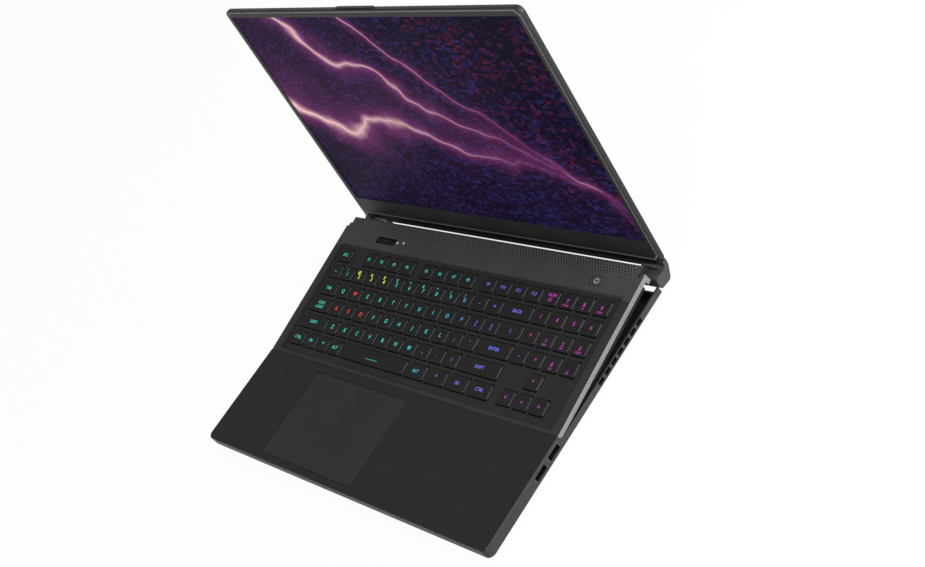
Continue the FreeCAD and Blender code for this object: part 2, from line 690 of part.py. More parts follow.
def touchpad_bracket():
    """The support frame below the touchpad, with the saddle that its rib lies in."""
    half = TOUCHPAD_WIDTH / 2 + BRACKET_RIM
    x0, x1 = TOUCHPAD_OFFSET - half, TOUCHPAD_OFFSET + half
    floor = UNDER_SKIN - BRACKET_POCKET
    frame = box(x0, x1, TOUCHPAD_FRONT - BRACKET_RIM, TOUCHPAD_REAR + BRACKET_RIM, UNDER_SKIN - BRACKET_HEIGHT, UNDER_SKIN)
    inner, hole = half - BRACKET_RIM + PAST, half - BRACKET_RIM - BRACKET_WINDOW
    left, right = TOUCHPAD_OFFSET - hole, TOUCHPAD_OFFSET + hole
    front, rear = TOUCHPAD_FRONT + BRACKET_WINDOW, TOUCHPAD_REAR - BRACKET_WINDOW
    cuts = [
        box(TOUCHPAD_OFFSET - inner, TOUCHPAD_OFFSET + inner, TOUCHPAD_FRONT - PAST, TOUCHPAD_REAR + PAST, floor, CASE_HEIGHT),
        box(left, right, front, rear, 0.0, CASE_HEIGHT),
    ]
    reach = PAD_PIVOT_LENGTH / 2
    left, right = TOUCHPAD_OFFSET - reach, TOUCHPAD_OFFSET + reach
    saddle = box(left, right, PAD_PIVOT_Y - SADDLE_HALF, PAD_PIVOT_Y + SADDLE_HALF, floor - FIT, PAD_PIVOT_Z)
    groove = rod(PAD_PIVOT_RADIUS + RUNNING_CLEARANCE, left - PAST, right + PAST, PAD_PIVOT_Y, PAD_PIVOT_Z)
    return union([frame.cut(cuts), saddle.cut(groove)])


def battery_pack():
    """Flat cells in a row below the palm rest, joined by a strip behind them."""
    top = UNDER_SKIN - BRACKET_HEIGHT - SEAT
    width = (2 * BATTERY_HALF - (CELL_COUNT - 1) * CELL_GAP) / CELL_COUNT
    depth, height = CELL_STRIP
    solids = [box(-BATTERY_HALF, BATTERY_HALF, BATTERY_REAR - FIT, BATTERY_REAR + depth, INNER_FLOOR, INNER_FLOOR + height)]
    for i in range(CELL_COUNT):
        x = i * (width + CELL_GAP) - BATTERY_HALF
        solids.append(box(x, x + width, BATTERY_FRONT, BATTERY_REAR, INNER_FLOOR, top))
    return union(solids)


def speaker_boxes():
    """A sealed speaker on each side of the battery."""
    inner = SPEAKER_OUT - SPEAKER_WIDTH
    right = box(inner, SPEAKER_OUT, SPEAKER_FRONT, BATTERY_REAR, INNER_FLOOR, UNDER_SKIN - SEAT)
    return Part.makeCompound(both_sides(right))


def mainboard():
    """The circuit board between the fans with its two large chips."""
    board = box(-BOARD_HALF, BOARD_HALF, PALM_DEPTH + BOARD_FRONT, DECK_REAR - BOARD_BEHIND, INNER_FLOOR, BOARD_TOP)
    chips = [box(x - a, x + a, FAN_Y + y - b, FAN_Y + y + b, BOARD_TOP - FIT, CHIP_TOP) for x, y, a, b in CHIPS]
    return union([board] + chips)


def memory_module():
    """A memory card lying on the board."""
    front = PALM_DEPTH + CARD_FRONT
    x0, x1 = MEMORY_SPAN[0] - BOARD_HALF, -MEMORY_SPAN[1]
    return box(x0, x1, front, front + MEMORY_DEPTH, BOARD_TOP, BOARD_TOP + CARD_HEIGHT)


def storage_module():
    """A storage card lying on the board."""
    front = PALM_DEPTH + CARD_FRONT
    x0, x1 = STORAGE_SPAN[0], BOARD_HALF - STORAGE_SPAN[1]
    return box(x0, x1, front, front + STORAGE_DEPTH, BOARD_TOP, BOARD_TOP + CARD_HEIGHT)


def heat_pipes():
    """Two flat pipes from the chips to the fins, one to each side."""
    pipes = []
    y = (FIN_FRONT + FIN_REAR) / 2
    reach = FAN_X + FAN_SIZE / 2 - BLADE_GAP
    top = CHIP_TOP + PIPE_THICKNESS
    for side, (x, off, _, deep) in zip((-1, 1), CHIPS):
        bar = box(x - PIPE_HALF, x + PIPE_HALF, FAN_Y + off - deep, y + PIPE_HALF, CHIP_TOP, top)
        x0, x1 = sorted((x - side * PIPE_HALF, side * reach))
        pipes.append(union([bar, box(x0, x1, y - PIPE_HALF, y + PIPE_HALF, CHIP_TOP, top)]))
    return Part.makeCompound(pipes)


def fin_stack():
    """A row of thin fins under a strip, behind the right fan."""
    x0, x1 = FAN_X - FAN_SIZE / 2 + FAN_WALL, FAN_X + FAN_SIZE / 2 - FAN_WALL
    pitch = (x1 - x0 - FIN_THICKNESS) / (FIN_COUNT - 1)
    solids = [box(x0, x1, FIN_FRONT, FIN_REAR, CHIP_TOP - FIN_THICKNESS, CHIP_TOP)]
    for i in range(FIN_COUNT):
        x = x0 + i * pitch
        solids.append(box(x, x + FIN_THICKNESS, FIN_FRONT, FIN_REAR, INNER_FLOOR, CHIP_TOP))
    return union(solids)


def fan_housing():
    """The right fan's flat case with round inlets and an outlet to the rear."""
    half = FAN_SIZE / 2
    low, high = INNER_FLOOR, INNER_FLOOR + FAN_HEIGHT
    floor, ceiling = low + FAN_PLATES[0], high - FAN_PLATES[1]
    inner = half - FAN_WALL
    outer = box(FAN_X - half, FAN_X + half, FAN_Y - half, FAN_Y + half, low, high)
    chamber = column(FAN_X, FAN_Y, inner, 24, floor, ceiling)
    outlet = box(FAN_X - inner, FAN_X + inner, FAN_Y + BLADE_GAP, FAN_Y + half + PAST, floor, ceiling)
    top_inlet = column(FAN_X, FAN_Y, FAN_INLET, 16, ceiling - PAST, high + PAST)
    bridge = box(FAN_X - FAN_BRIDGE, FAN_X + FAN_BRIDGE, FAN_Y - half, FAN_Y + half, 0.0, high)
    low_inlet = column(FAN_X, FAN_Y, FAN_INLET, 16, 0.0, floor + FIT).cut(bridge)
    pin = post(FAN_PIN_RADIUS, FAN_X, FAN_Y, low, ceiling - FIT)
    return union([outer.cut([chamber, outlet, top_inlet, low_inlet]), pin])


def fan_rotor():
    """The right fan's hub with swept blades, turning on the housing's pin."""
    low, high = INNER_FLOOR + ROTOR_GAP, INNER_FLOOR + FAN_HEIGHT - ROTOR_GAP
    root = FAN_X + HUB_RADIUS - PAST
    tip = FAN_X + FAN_SIZE / 2 - BLADE_GAP
    thin = BLADE_THICKNESS / 2
    solids = [column(FAN_X, FAN_Y, HUB_RADIUS, FAN_BLADES, low, high)]
    for i in range(FAN_BLADES):
        blade = box(root, tip, FAN_Y - thin, FAN_Y + thin, low, high)
        blade.rotate(V(root, FAN_Y, 0), V(0, 0, 1), FAN_SWEEP)
        blade.rotate(V(FAN_X, FAN_Y, 0), V(0, 0, 1), 360.0 * i / FAN_BLADES)
        solids.append(blade)
    bore = post(FAN_PIN_RADIUS + RUNNING_CLEARANCE, FAN_X, FAN_Y, low - PAST, high + PAST)
    return union(solids).cut(bore)


def hinge_bracket():
    """The right foot on the pan with an ear that holds the hinge pin."""
    foot_top = FLOOR_TOP + BRACKET_FOOT
    low, high = HINGE_Y - EAR_RADIUS, HINGE_Y + EAR_RADIUS
    top = HINGE_Z + EAR_RADIUS
    rear = CASE_REAR - PAST
    outline = [
        (PAN_END + SEAT, FLOOR_TOP, 0), (rear, FLOOR_TOP, 0), (rear, foot_top, 0), (high, foot_top, 0),
        (high, top, EAR_RADIUS - FIT), (low, top, EAR_RADIUS - FIT), (low, foot_top, 0), (PAN_END + SEAT, foot_top, 0),
    ]
    hole = rod(HINGE_PIN_RADIUS + PRESS_CLEARANCE, BRACKET_IN - PAST, BRACKET_OUT + PAST, HINGE_Y, HINGE_Z)
    return profile_x(outline, BRACKET_IN, BRACKET_OUT).cut(hole)


def hinge_pins():
    """The fixed pin of each hinge."""
    return Part.makeCompound(both_sides(rod(HINGE_PIN_RADIUS, BRACKET_IN, HALF - PIN_END, HINGE_Y, HINGE_Z)))


def deck_pivot_brackets():
    """Two stands on the pan with the short pins that the deck turns on."""
    depth, height = STAND_FOOT
    front = PIVOT_Y - STAND_HALF
    stand = box(STAND_IN, PIVOT_OUT, front, PIVOT_Y + STAND_HALF, FLOOR_TOP, PIVOT_Z + STAND_HALF)
    foot = box(PIVOT_IN, PIVOT_OUT, front, PIVOT_Y + depth, FLOOR_TOP, FLOOR_TOP + height)
    pin = rod(PIVOT_PIN_RADIUS, PIVOT_IN, PIVOT_OUT, PIVOT_Y, PIVOT_Z)
    return Part.makeCompound(both_sides(union([stand, foot, pin])))


def control_slot(x, size, grow, z0, z1):
    """A rectangle with cut corners in the control strip."""
    a, b = size[0] / 2 + grow, size[1] / 2 + grow
    return tile(x - a, x + a, CONTROL_Y - b, CONTROL_Y + b, z0, z1, CONTROL_CORNER)


def deck_shell():
    """The deck's plate with its sunk window, rear tongue, slots and side fairings."""
    side = deck_bay(DECK_FRONT, DECK_BOTTOM, DECK_REAR, CASE_HEIGHT, HALF)
    side = side.makeChamfer(EDGE_CHAMFER, [e for e in edges_at(side, CASE_HEIGHT) if e.BoundBox.XLength < 1e-6])
    tongue = box(-TONGUE_HALF, TONGUE_HALF, DECK_REAR - PAST, TONGUE_REAR, DECK_BOTTOM, CASE_HEIGHT)
    rear_top = [e for e in edges_at(tongue, CASE_HEIGHT) if e.BoundBox.YMin > TONGUE_REAR - FIT]
    tongue = tongue.makeChamfer(EDGE_CHAMFER, rear_top)
    fairing_out = HALF - WALL - RAIL_GAP
    fairing = box(KNUCKLE_IN, fairing_out, DECK_REAR, RAIL_END, SIDE_BOTTOM + FAIRING_RISE, CASE_HEIGHT - PAST)
    inner, half = HALF - DECK_WALL, TONGUE_HALF - DECK_WALL
    low, over = DECK_BOTTOM - PAST, CASE_HEIGHT + PAST
    narrow, near, far = WELL_HALF - WELL_SLOPE, WELL_Y0 + WELL_SLOPE, WELL_Y1 - WELL_SLOPE
    window = tapered(
        octagon(-narrow, narrow, near, far, UNDER_SKIN, WELL_CORNER),
        octagon(-WELL_HALF, WELL_HALF, WELL_Y0, WELL_Y1, CASE_HEIGHT, WELL_CORNER),
    )
    cuts = [
        window,
        box(-inner, inner, WELL_Y0 - DECK_WALL, DECK_REAR - DECK_WALL, low, UNDER_SKIN),
        box(-half, half, WELL_Y1 + DECK_WALL, TONGUE_REAR - DECK_WALL, low, UNDER_SKIN),
        box(-GRILLE_HALF, GRILLE_HALF, DECK_REAR, GRILLE_REAR, CASE_HEIGHT - GRILLE_THICKNESS, over),
        box(PAST - GRILLE_HALF, GRILLE_HALF - PAST, DECK_REAR + PAST, GRILLE_REAR - PAST, low, over),
        control_slot(WHEEL_X, WHEEL_SLOT, 0.0, low, over),
        control_slot(POWER_X, POWER_SIZE, KEY_CLEARANCE, low, over),
    ]
    return union([side, tongue] + both_sides(fairing)).cut(cuts)


def keyboard_deck():
    """The rising deck: its shell with the pivot lugs and the legs that the hinge lifts."""
    root = CASE_HEIGHT - PAST
    lug_in, lug_out = PIVOT_IN - FIT, STAND_IN - STAND_ROOM
    lug = box(lug_in, lug_out, PIVOT_Y - LUG_HALF, PIVOT_Y + LUG_HALF, PIVOT_Z - LUG_HALF, root)
    leg_low = LIFT_Z + LIFT_PIN_RADIUS + LIFT_CLEARANCE
    leg = box(LEG_IN, LEG_OUT, RAIL_END - PAN_WALL, TONGUE_REAR - PAN_WALL, leg_low, root)
    body = union([deck_shell()] + both_sides(lug) + both_sides(leg))
    bore = rod(PIVOT_PIN_RADIUS + RUNNING_CLEARANCE, -PIVOT_OUT, PIVOT_OUT, PIVOT_Y, PIVOT_Z)
    reach = STAND_HALF + STAND_ROOM
    room = box(STAND_IN - FIT, PIVOT_OUT + STAND_ROOM, PIVOT_Y - reach, PIVOT_Y + reach, 0.0, PIVOT_Z + reach)
    return body.cut([bore] + both_sides(room)).removeSplitter()


def all_keys():
    """Every key of the layout."""
    return [key for keys in KEYS.values() for key in keys]


def key_surround():
    """The sunk plate between the keys, fixed below the deck's window, whose holes guide the caps."""
    half, front = WELL_HALF + WELL_SEAT, WELL_Y0 - WELL_SEAT
    sheet = box(-half, half, front, WELL_Y1 + WELL_SEAT, WELL_UNDER, UNDER_SKIN)
    lug_room = box(PIVOT_IN - PAST, PIVOT_OUT + PAST, front - PAST, PIVOT_Y + LUG_HALF + SEAT, 0.0, CASE_HEIGHT)
    cuts = both_sides(lug_room)
    for key in all_keys():
        x0, x1, y0, y1 = key_cell(key)
        g = KEY_CLEARANCE
        cuts.append(box(x0 - g, x1 + g, y0 - g, y1 + g, 0.0, CASE_HEIGHT))
    return sheet.cut(cuts).removeSplitter()


def keycap(key):
    """One tapered cap."""
    x0, x1, y0, y1 = key_cell(key)
    t = KEY_TAPER
    return tapered(rectangle(x0, x1, y0, y1, KEY_BOTTOM), rectangle(x0 + t, x1 - t, y0 + t, y1 - t, KEY_TOP))


def key_group(name):
    """The caps of one group."""
    return Part.makeCompound([keycap(key) for key in KEYS[name]])


def switch_plate():
    """The sheet below the keys, hung from the surround by rails at its sides and rear."""
    half, rear = WELL_HALF - PLATE_SIDE, WELL_Y1 + WELL_SEAT
    front = KEYS_Y0 - KEY_GAP
    sheet = box(-half, half, front, rear, PLATE_TOP - PLATE_THICKNESS, PLATE_TOP)
    side = box(half - PLATE_RAIL, half, front, rear, PLATE_TOP - FIT, WELL_UNDER)
    back = box(-half, half, rear - PLATE_RAIL, rear, PLATE_TOP - FIT, WELL_UNDER)
    return union([sheet, back] + both_sides(side))


def side_baffles():
    """Dark walls below the deck's sides that close the wedge when the deck is up."""
    out = HALF - WALL - BAFFLE_GAP
    y0, y1 = DECK_FRONT + BAFFLE_ENDS[0], DECK_REAR - BAFFLE_ENDS[1]
    right = box(out - BAFFLE_THICKNESS, out, y0, y1, SIDE_BOTTOM + EDGE_CHAMFER, UNDER_SKIN)
    return Part.makeCompound(both_sides(right))


def vent_grille():
    """The perforated strip along the rear of the deck."""
    strip = box(-GRILLE_HALF, GRILLE_HALF, DECK_REAR, GRILLE_REAR, CASE_HEIGHT - GRILLE_THICKNESS, CASE_HEIGHT - TOUCHPAD_SINK)
    pitch = 2 * GRILLE_HALF / GRILLE_HOLES
    row_pitch = (GRILLE_REAR - DECK_REAR - 2 * GRILLE_EDGE) / GRILLE_ROWS
    a, b = pitch * GRILLE_OPEN, row_pitch * GRILLE_OPEN
    holes = []
    for row in range(GRILLE_ROWS):
        y = DECK_REAR + GRILLE_EDGE + (row + 0.5) * row_pitch
        for i in range(GRILLE_HOLES - row % 2):
            x = (i + 0.5 + 0.5 * (row % 2)) * pitch - GRILLE_HALF
            holes.append(box(x - a, x + a, y - b, y + b, DECK_BOTTOM, CASE_HEIGHT + PAST))
    return strip.cut(holes)


def media_wheel():
    """A ribbed roller on a thin axle."""
    half = WHEEL_LENGTH / 2
    step = 2 * math.pi / WHEEL_TEETH
    points = []
    for i in range(WHEEL_TEETH):
        for share, radius in ((0.0, WHEEL_RADIUS), (0.5, WHEEL_RADIUS), (0.75, WHEEL_RADIUS - WHEEL_GROOVE)):
            a = (i + share) * step
            points.append((CONTROL_Y + radius * math.cos(a), WHEEL_Z + radius * math.sin(a), 0))
    reach = half + WHEEL_AXLE_END
    axle = rod(WHEEL_AXLE_RADIUS, WHEEL_X - reach, WHEEL_X + reach, CONTROL_Y, WHEEL_Z)
    return union([profile_x(points, WHEEL_X - half, WHEEL_X + half), axle])


def wheel_bearings():
    """The two ears below the deck that carry the roller."""
    x0 = WHEEL_SLOT[0] / 2 + FIT
    low = WHEEL_Z - EAR_HALF
    ears = []
    for near in (WHEEL_X - x0 - EAR_WIDTH, WHEEL_X + x0):
        far = near + EAR_WIDTH
        ear = box(near, far, CONTROL_Y - EAR_HALF, CONTROL_Y + EAR_HALF, low, UNDER_SKIN)
        hole = rod(WHEEL_AXLE_RADIUS + RUNNING_CLEARANCE, near - PAST, far + PAST, CONTROL_Y, WHEEL_Z)
        ears.append(ear.cut(hole))
    return Part.makeCompound(ears)


def power_button():
    """The power key in the control strip, deep enough to stay in its slot when pressed."""
    return control_slot(POWER_X, POWER_SIZE, 0.0, UNDER_SKIN - POWER_TRAVEL - FIT, CASE_HEIGHT - TOUCHPAD_SINK)


def lid_back_cover():
    """The lid's shallow tray with its opening lip and the tail that hangs behind the deck when it is open."""
    outer = plate(-HALF, HALF, 0.0, LID_LENGTH, BEZEL_BACK, LID_TOP, CORNER_RADIUS, LID_REAR_RADIUS)
    outer = outer.makeChamfer(EDGE_CHAMFER, edges_at(outer, LID_TOP))
    inner, back = HALF - LID_WALL, LID_LENGTH - LID_WALL
    hollow = plate(-inner, inner, LID_WALL, back, BEZEL_BACK - PAST, LID_TOP - LID_SKIN,
                   CORNER_RADIUS - LID_WALL, LID_REAR_RADIUS - LID_WALL)
    lip = box(-LIP_WIDTH / 2, LIP_WIDTH / 2, -LIP_DEPTH, LIP_ROOT, BEZEL_BACK + LIP_BELOW, LID_TOP - EDGE_CHAMFER)
    tail_half, tail_end = HALF - TAIL_SIDE, LID_LENGTH + TAIL_LENGTH
    tail = box(-tail_half, tail_half, back, tail_end, LID_FACE + TAIL_STEP, LID_TOP)
    tail = tail.makeChamfer(EDGE_CHAMFER, [e for e in edges_at(tail, LID_TOP) if e.BoundBox.YMin > tail_end - FIT])
    slot_out = HALF - WALL - SEAT + 2 * FIT
    slot = box(KNUCKLE_IN, slot_out, back - LID_WALL, LID_LENGTH + PAST, LEAF_LOW - FIT, LEAF_HIGH + FIT)
    return union([outer.cut([hollow] + both_sides(slot)), lip, tail])


def lid_bezel():
    """The frame round the screen with the camera's hole."""
    i = BEZEL_INSET
    frame = plate(i - HALF, HALF - i, i, LID_LENGTH - i, LID_FACE, BEZEL_BACK, CORNER_RADIUS - i, LID_REAR_RADIUS - i)
    low, high = LID_FACE - PAST, BEZEL_BACK + PAST
    window = box(-SCREEN_WIDTH / 2, SCREEN_WIDTH / 2, TOP_BEZEL, SCREEN_REAR, low, high)
    return frame.cut([window, post(CAMERA_RADIUS + FIT, 0.0, CAMERA_Y, low, high)])


def display_panel():
    """The screen behind the bezel's window."""
    m = PANEL_MARGIN
    half = SCREEN_WIDTH / 2 + m
    return box(-half, half, TOP_BEZEL - m, SCREEN_REAR + m, BEZEL_BACK, BEZEL_BACK + PANEL_THICKNESS)


def camera_module():
    """The small camera above the screen."""
    half, back = CAMERA_WIDTH / 2, BEZEL_BACK + CAMERA_BOARD
    board = box(-half, half, CAMERA_FRONT, CAMERA_REAR, BEZEL_BACK, back)
    return union([board, post(CAMERA_RADIUS, 0.0, CAMERA_Y, LID_FACE + CAMERA_SUNK, back)])


def lid_gasket():
    """The thin rubber line round the bezel."""
    a, b = GASKET_INSET, GASKET_INSET + GASKET_WIDTH
    corner = CORNER_RADIUS - GASKET_INSET
    outer = tile(a - HALF, HALF - a, a, LID_LENGTH - a, LID_FACE - GASKET_HEIGHT, LID_FACE, corner)
    inner = tile(b - HALF, HALF - b, b, LID_LENGTH - b, LID_FACE - PAST, LID_FACE + PAST, corner)
    return outer.cut(inner)


def hinge_arm():
    """The right barrel on its pin, the neck to the lid, the leaf inside the lid and the lift pin for the deck."""
    y, z = HINGE_Y, HINGE_Z
    front, rear = y - BARREL_AHEAD, y + BARREL_BEHIND
    top, low = z + BARREL_ABOVE, z - BARREL_BELOW
    shelf = DECK_BOTTOM - FAIRING_RISE
    step = TONGUE_REAR + SPLIT_GAP
    top_round, rear_round, front_round = BARREL_ROUNDS
    barrel = [
        (front, shelf, 0), (step, shelf, 0), (step, top, 0), (rear, top, top_round),
        (rear, low, rear_round), (front, low, front_round),
    ]
    neck = [
        (LID_LENGTH, LID_TOP - LIP_BELOW, 0), (LID_LENGTH, LID_FACE + LID_GAP, 0), (RAIL_END + LIP_DEPTH, LID_FACE, 0),
        (front, z + EAR_RADIUS, 0), (front, z, 0), (rear, z, 0), (rear, z + HINGE_DROP, BARREL_BEHIND),
        (front, LID_TOP - LIP_DEPTH, BARREL_ABOVE),
    ]
    a = math.radians(LIFT_ANGLE)
    side_y, side_z = -math.sin(a) * CRANK_HALF, math.cos(a) * CRANK_HALF
    crank = [
        (y + side_y, z + side_z, 0), (LIFT_Y + side_y, LIFT_Z + side_z, 0),
        (LIFT_Y + math.cos(a) * CRANK_TIP, LIFT_Z + math.sin(a) * CRANK_TIP, 0),
        (LIFT_Y - side_y, LIFT_Z - side_z, 0), (y - side_y, z - side_z, 0),
    ]
    leaf_out = HALF - WALL - SEAT
    root = LID_LENGTH - LID_WALL
    solids = [
        profile_x(barrel, BARREL_IN, HALF),
        profile_x(neck, KNUCKLE_IN, HALF),
        profile_x(crank, BARREL_IN, BARREL_IN + CRANK_THICKNESS),
        rod(LIFT_PIN_RADIUS, LEG_IN - FIT, BARREL_IN + FIT, LIFT_Y, LIFT_Z),
        box(KNUCKLE_IN + FIT, leaf_out, root - LID_WALL, LID_LENGTH + PAST, LEAF_LOW, LEAF_HIGH),
        box(BARREL_IN - LEAF_WIDTH, leaf_out, LID_LENGTH - LEAF_LENGTH, root - FIT, LEAF_LOW, LEAF_HIGH),
    ]
    return union(solids).cut(rod(HINGE_PIN_RADIUS + RUNNING_CLEARANCE, BARREL_IN - PAST, HALF - PIN_END + FIT, y, z))


def place(shape, group):
    """Turns a piece of the closed drawing into the open pose and centres it on the origin."""
    moved = shape.copy()
    if group == "deck":
        moved.rotate(V(0, PIVOT_Y, PIVOT_Z), V(1, 0, 0), DECK_TILT)
    if group == "lid":
        moved.rotate(V(0, HINGE_Y, HINGE_Z), V(1, 0, 0), -LID_OPEN)
    moved.translate(V(0, -ORIGIN_Y, 0))
    return moved


def base_pieces():
    """The nodes that stay on the desk, with the fans and the touchpad."""
    return {
        "top_case": top_case(),
        "bottom_cover": bottom_cover(),
        "bottom_screws": bottom_screws(),
        "rubber_feet": rubber_feet(),
        "rear_exhaust": rear_exhaust(),
        "usb_sockets": usb_sockets(),
        "power_socket": left_socket("power"),
        "video_socket": left_socket("video"),
        "data_sockets": Part.makeCompound([left_socket("front_data"), left_socket("rear_data")]),
        "audio_jack": audio_jack(),
        "touchpad": touchpad(),
        "touchpad_bracket": touchpad_bracket(),
        "battery_pack": battery_pack(),
        "speaker_boxes": speaker_boxes(),
        "mainboard": mainboard(),
        "memory_module": memory_module(),
        "storage_module": storage_module(),
        "heat_pipes": heat_pipes(),
        "fin_stacks": Part.makeCompound(both_sides(fin_stack())),
        "left_fan_housing": mirrored(fan_housing()),
        "right_fan_housing": fan_housing(),
        "left_fan_rotor": mirrored(fan_rotor()),
        "right_fan_rotor": fan_rotor(),
        "hinge_brackets": Part.makeCompound(both_sides(hinge_bracket())),
        "hinge_pins": hinge_pins(),
        "deck_pivot_brackets": deck_pivot_brackets(),
    }


def deck_pieces():
    """The nodes that rise with the keyboard deck."""
    nodes = {
        "keyboard_deck": keyboard_deck(),
        "key_surround": key_surround(),
        "vent_grille": vent_grille(),
        "switch_plate": switch_plate(),
        "side_baffles": side_baffles(),
        "wheel_bearings": wheel_bearings(),
        "media_wheel": media_wheel(),
        "power_button": power_button(),
    }
    nodes.update({name: key_group(name) for name in KEYS})
    return nodes


def lid_pieces():
    """The nodes that swing with the lid."""
    return {
        "lid_back_cover": lid_back_cover(),
        "lid_bezel": lid_bezel(),
        "display_panel": display_panel(),
        "camera_module": camera_module(),
        "lid_gasket": lid_gasket(),
        "left_hinge_arm": mirrored(hinge_arm()),
        "right_hinge_arm": hinge_arm(),
    }


def pieces():
    """Every node, by the group that it moves with."""
    return {"base": base_pieces(), "deck": deck_pieces(), "lid": lid_pieces()}


def main():
    """Writes one STEP file for each node."""
    os.makedirs("parts", exist_ok=True)
    for group, nodes in pieces().items():
        for name, shape in nodes.items():
            place(shape, group).exportStep(os.path.join("parts", name + ".step"))


if __name__ == "__main__":
    main()
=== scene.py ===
"""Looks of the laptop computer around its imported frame, with a camera, a pale floor and soft light."""

import json
import math

import bmesh
import bpy
from mathutils import Matrix, Vector


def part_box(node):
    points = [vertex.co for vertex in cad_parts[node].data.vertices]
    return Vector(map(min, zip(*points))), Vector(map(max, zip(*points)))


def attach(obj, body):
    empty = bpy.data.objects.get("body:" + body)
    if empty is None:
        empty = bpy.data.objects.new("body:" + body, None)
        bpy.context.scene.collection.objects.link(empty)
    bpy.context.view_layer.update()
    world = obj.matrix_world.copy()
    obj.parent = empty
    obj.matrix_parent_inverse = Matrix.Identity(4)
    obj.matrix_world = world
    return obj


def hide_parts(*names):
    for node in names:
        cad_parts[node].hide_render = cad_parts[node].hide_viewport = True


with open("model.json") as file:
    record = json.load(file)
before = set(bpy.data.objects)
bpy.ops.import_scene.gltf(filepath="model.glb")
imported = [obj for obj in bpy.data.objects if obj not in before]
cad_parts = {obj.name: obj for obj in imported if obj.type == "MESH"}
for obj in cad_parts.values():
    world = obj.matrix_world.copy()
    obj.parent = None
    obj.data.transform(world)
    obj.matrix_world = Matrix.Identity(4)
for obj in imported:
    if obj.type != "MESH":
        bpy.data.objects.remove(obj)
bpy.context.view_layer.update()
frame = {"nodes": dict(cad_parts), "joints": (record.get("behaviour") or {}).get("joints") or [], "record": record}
MM = 0.001

# Camera of the photograph
IMAGE_WIDTH = 925
FOCAL_PIXELS = 1492.0
SENSOR = 36.0
CAMERA_PLACE = Vector((0.9755, -0.3372, 0.7434))
CAMERA_AIM = Vector((0.1075, 0.0142, 0.1))
CAMERA_ROLL = -42.55
CLIP = (0.01, 100.0)

# Axes of the tilted deck and of the open lid, read from the frame
JOINTS = {joint["name"]: joint for joint in frame["joints"]}
DECK_NORMAL = Vector(JOINTS["space_bar_press"]["axis"]).normalized()
X_AXIS = Vector((1, 0, 0))
DECK = Matrix((X_AXIS, DECK_NORMAL.cross(X_AXIS), DECK_NORMAL)).transposed().to_4x4()
HINGE = JOINTS["lid_hinge"]
LID_TURN = math.radians(HINGE["range_deg"][0])
LID = Matrix.Translation(HINGE["pos_m"]) @ Matrix.Rotation(LID_TURN, 4, "X")

# Key legends, by node, from left to right and from the rear row to the front
LEGENDS = {
    "function_keys": ["ESC"] + ["F%d" % i for i in range(1, 13)],
    "number_keys": ["~"] + ["%d" % (i % 10) for i in range(1, 11)] + ["-", "="],
    "backspace_key": ["BACK"],
    "tab_key": ["TAB"],
    "upper_letter_keys": list("QWERTYUIOP[]"),
    "backslash_key": ["\\"],
    "caps_lock_key": ["CAPS\nLOCK"],
    "home_letter_keys": list("ASDFGHJKL;'"),
    "enter_key": ["ENTER"],
    "left_shift_key": ["SHIFT"],
    "lower_letter_keys": list("ZXCVBNM,./"),
    "right_shift_key": ["SHIFT"],
    "modifier_keys": ["CTRL", "FN", "*", "ALT", "ALT", "*", "FN", "CTRL"],
    "space_bar": ["________"],
    "numpad_keys": ["NUM\nLK", "7", "8", "9", "/", "4", "5", "6", "*", "1", "2", "3", "-", "+", "0", "."],
    "up_key": ["^"],
    "left_key": ["<"],
    "down_key": ["v"],
    "right_key": [">"],
}
SECOND_LEGENDS = {
    "number_keys": ["", "!", "@", "#", "$", "%", "^", "&", "*", "(", ")", "", ""],
    "numpad_keys": ["", "HOME", "UP", "PGUP", "", "", "", "", "", "END", "DN", "PGDN", "", "", "INS", "DEL"],
}
YELLOW_KEYS = "234"
RED_KEYS = "WASD"

# Colours of the backlight, and the shares of the keyboard's width at which they change
TEAL = (0.05, 0.66, 0.53)
CYAN = (0.05, 0.52, 0.6)
BLUE = (0.13, 0.16, 0.72)
MAGENTA = (0.38, 0.035, 0.36)
YELLOW = (0.9, 0.95, 0.05)
RED = (1.0, 0.06, 0.05)
WHITE = (0.9, 0.92, 0.95)
POWER_GREY = (0.6, 0.6, 0.6)
TEAL_TO = 0.25
CYAN_TO = 0.5
BLUE_TO = 0.72
BLUE_BLEND = 0.1
MAGENTA_BLEND = 0.08


def mix(a, b, share):
    """A colour between two others."""
    return tuple(p + (q - p) * share for p, q in zip(a, b))


def zone_colour(x):
    """The backlight's colour along the keyboard, from teal over blue to magenta."""
    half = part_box("key_surround")[1].x
    share = (x + half) / (2 * half)
    if share < CYAN_TO:
        return mix(TEAL, CYAN, max(0.0, share - TEAL_TO) / (CYAN_TO - TEAL_TO))
    if share < BLUE_TO:
        return mix(CYAN, BLUE, min(1.0, (share - CYAN_TO) / BLUE_BLEND))
    return mix(BLUE, MAGENTA, min(1.0, (share - BLUE_TO) / MAGENTA_BLEND))


def new_object(name, mesh, body, smooth=False):
    """An object in the scene that rides on a body."""
    piece = bpy.data.objects.new(name, mesh)
    bpy.context.scene.collection.objects.link(piece)
    for polygon in mesh.polygons:
        polygon.use_smooth = smooth
    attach(piece, body)
    return piece


def mesh_from(bm, name):
    """A mesh from a bmesh, which is freed."""
    mesh = bpy.data.meshes.new(name)
    bm.to_mesh(mesh)
    bm.free()
    return mesh


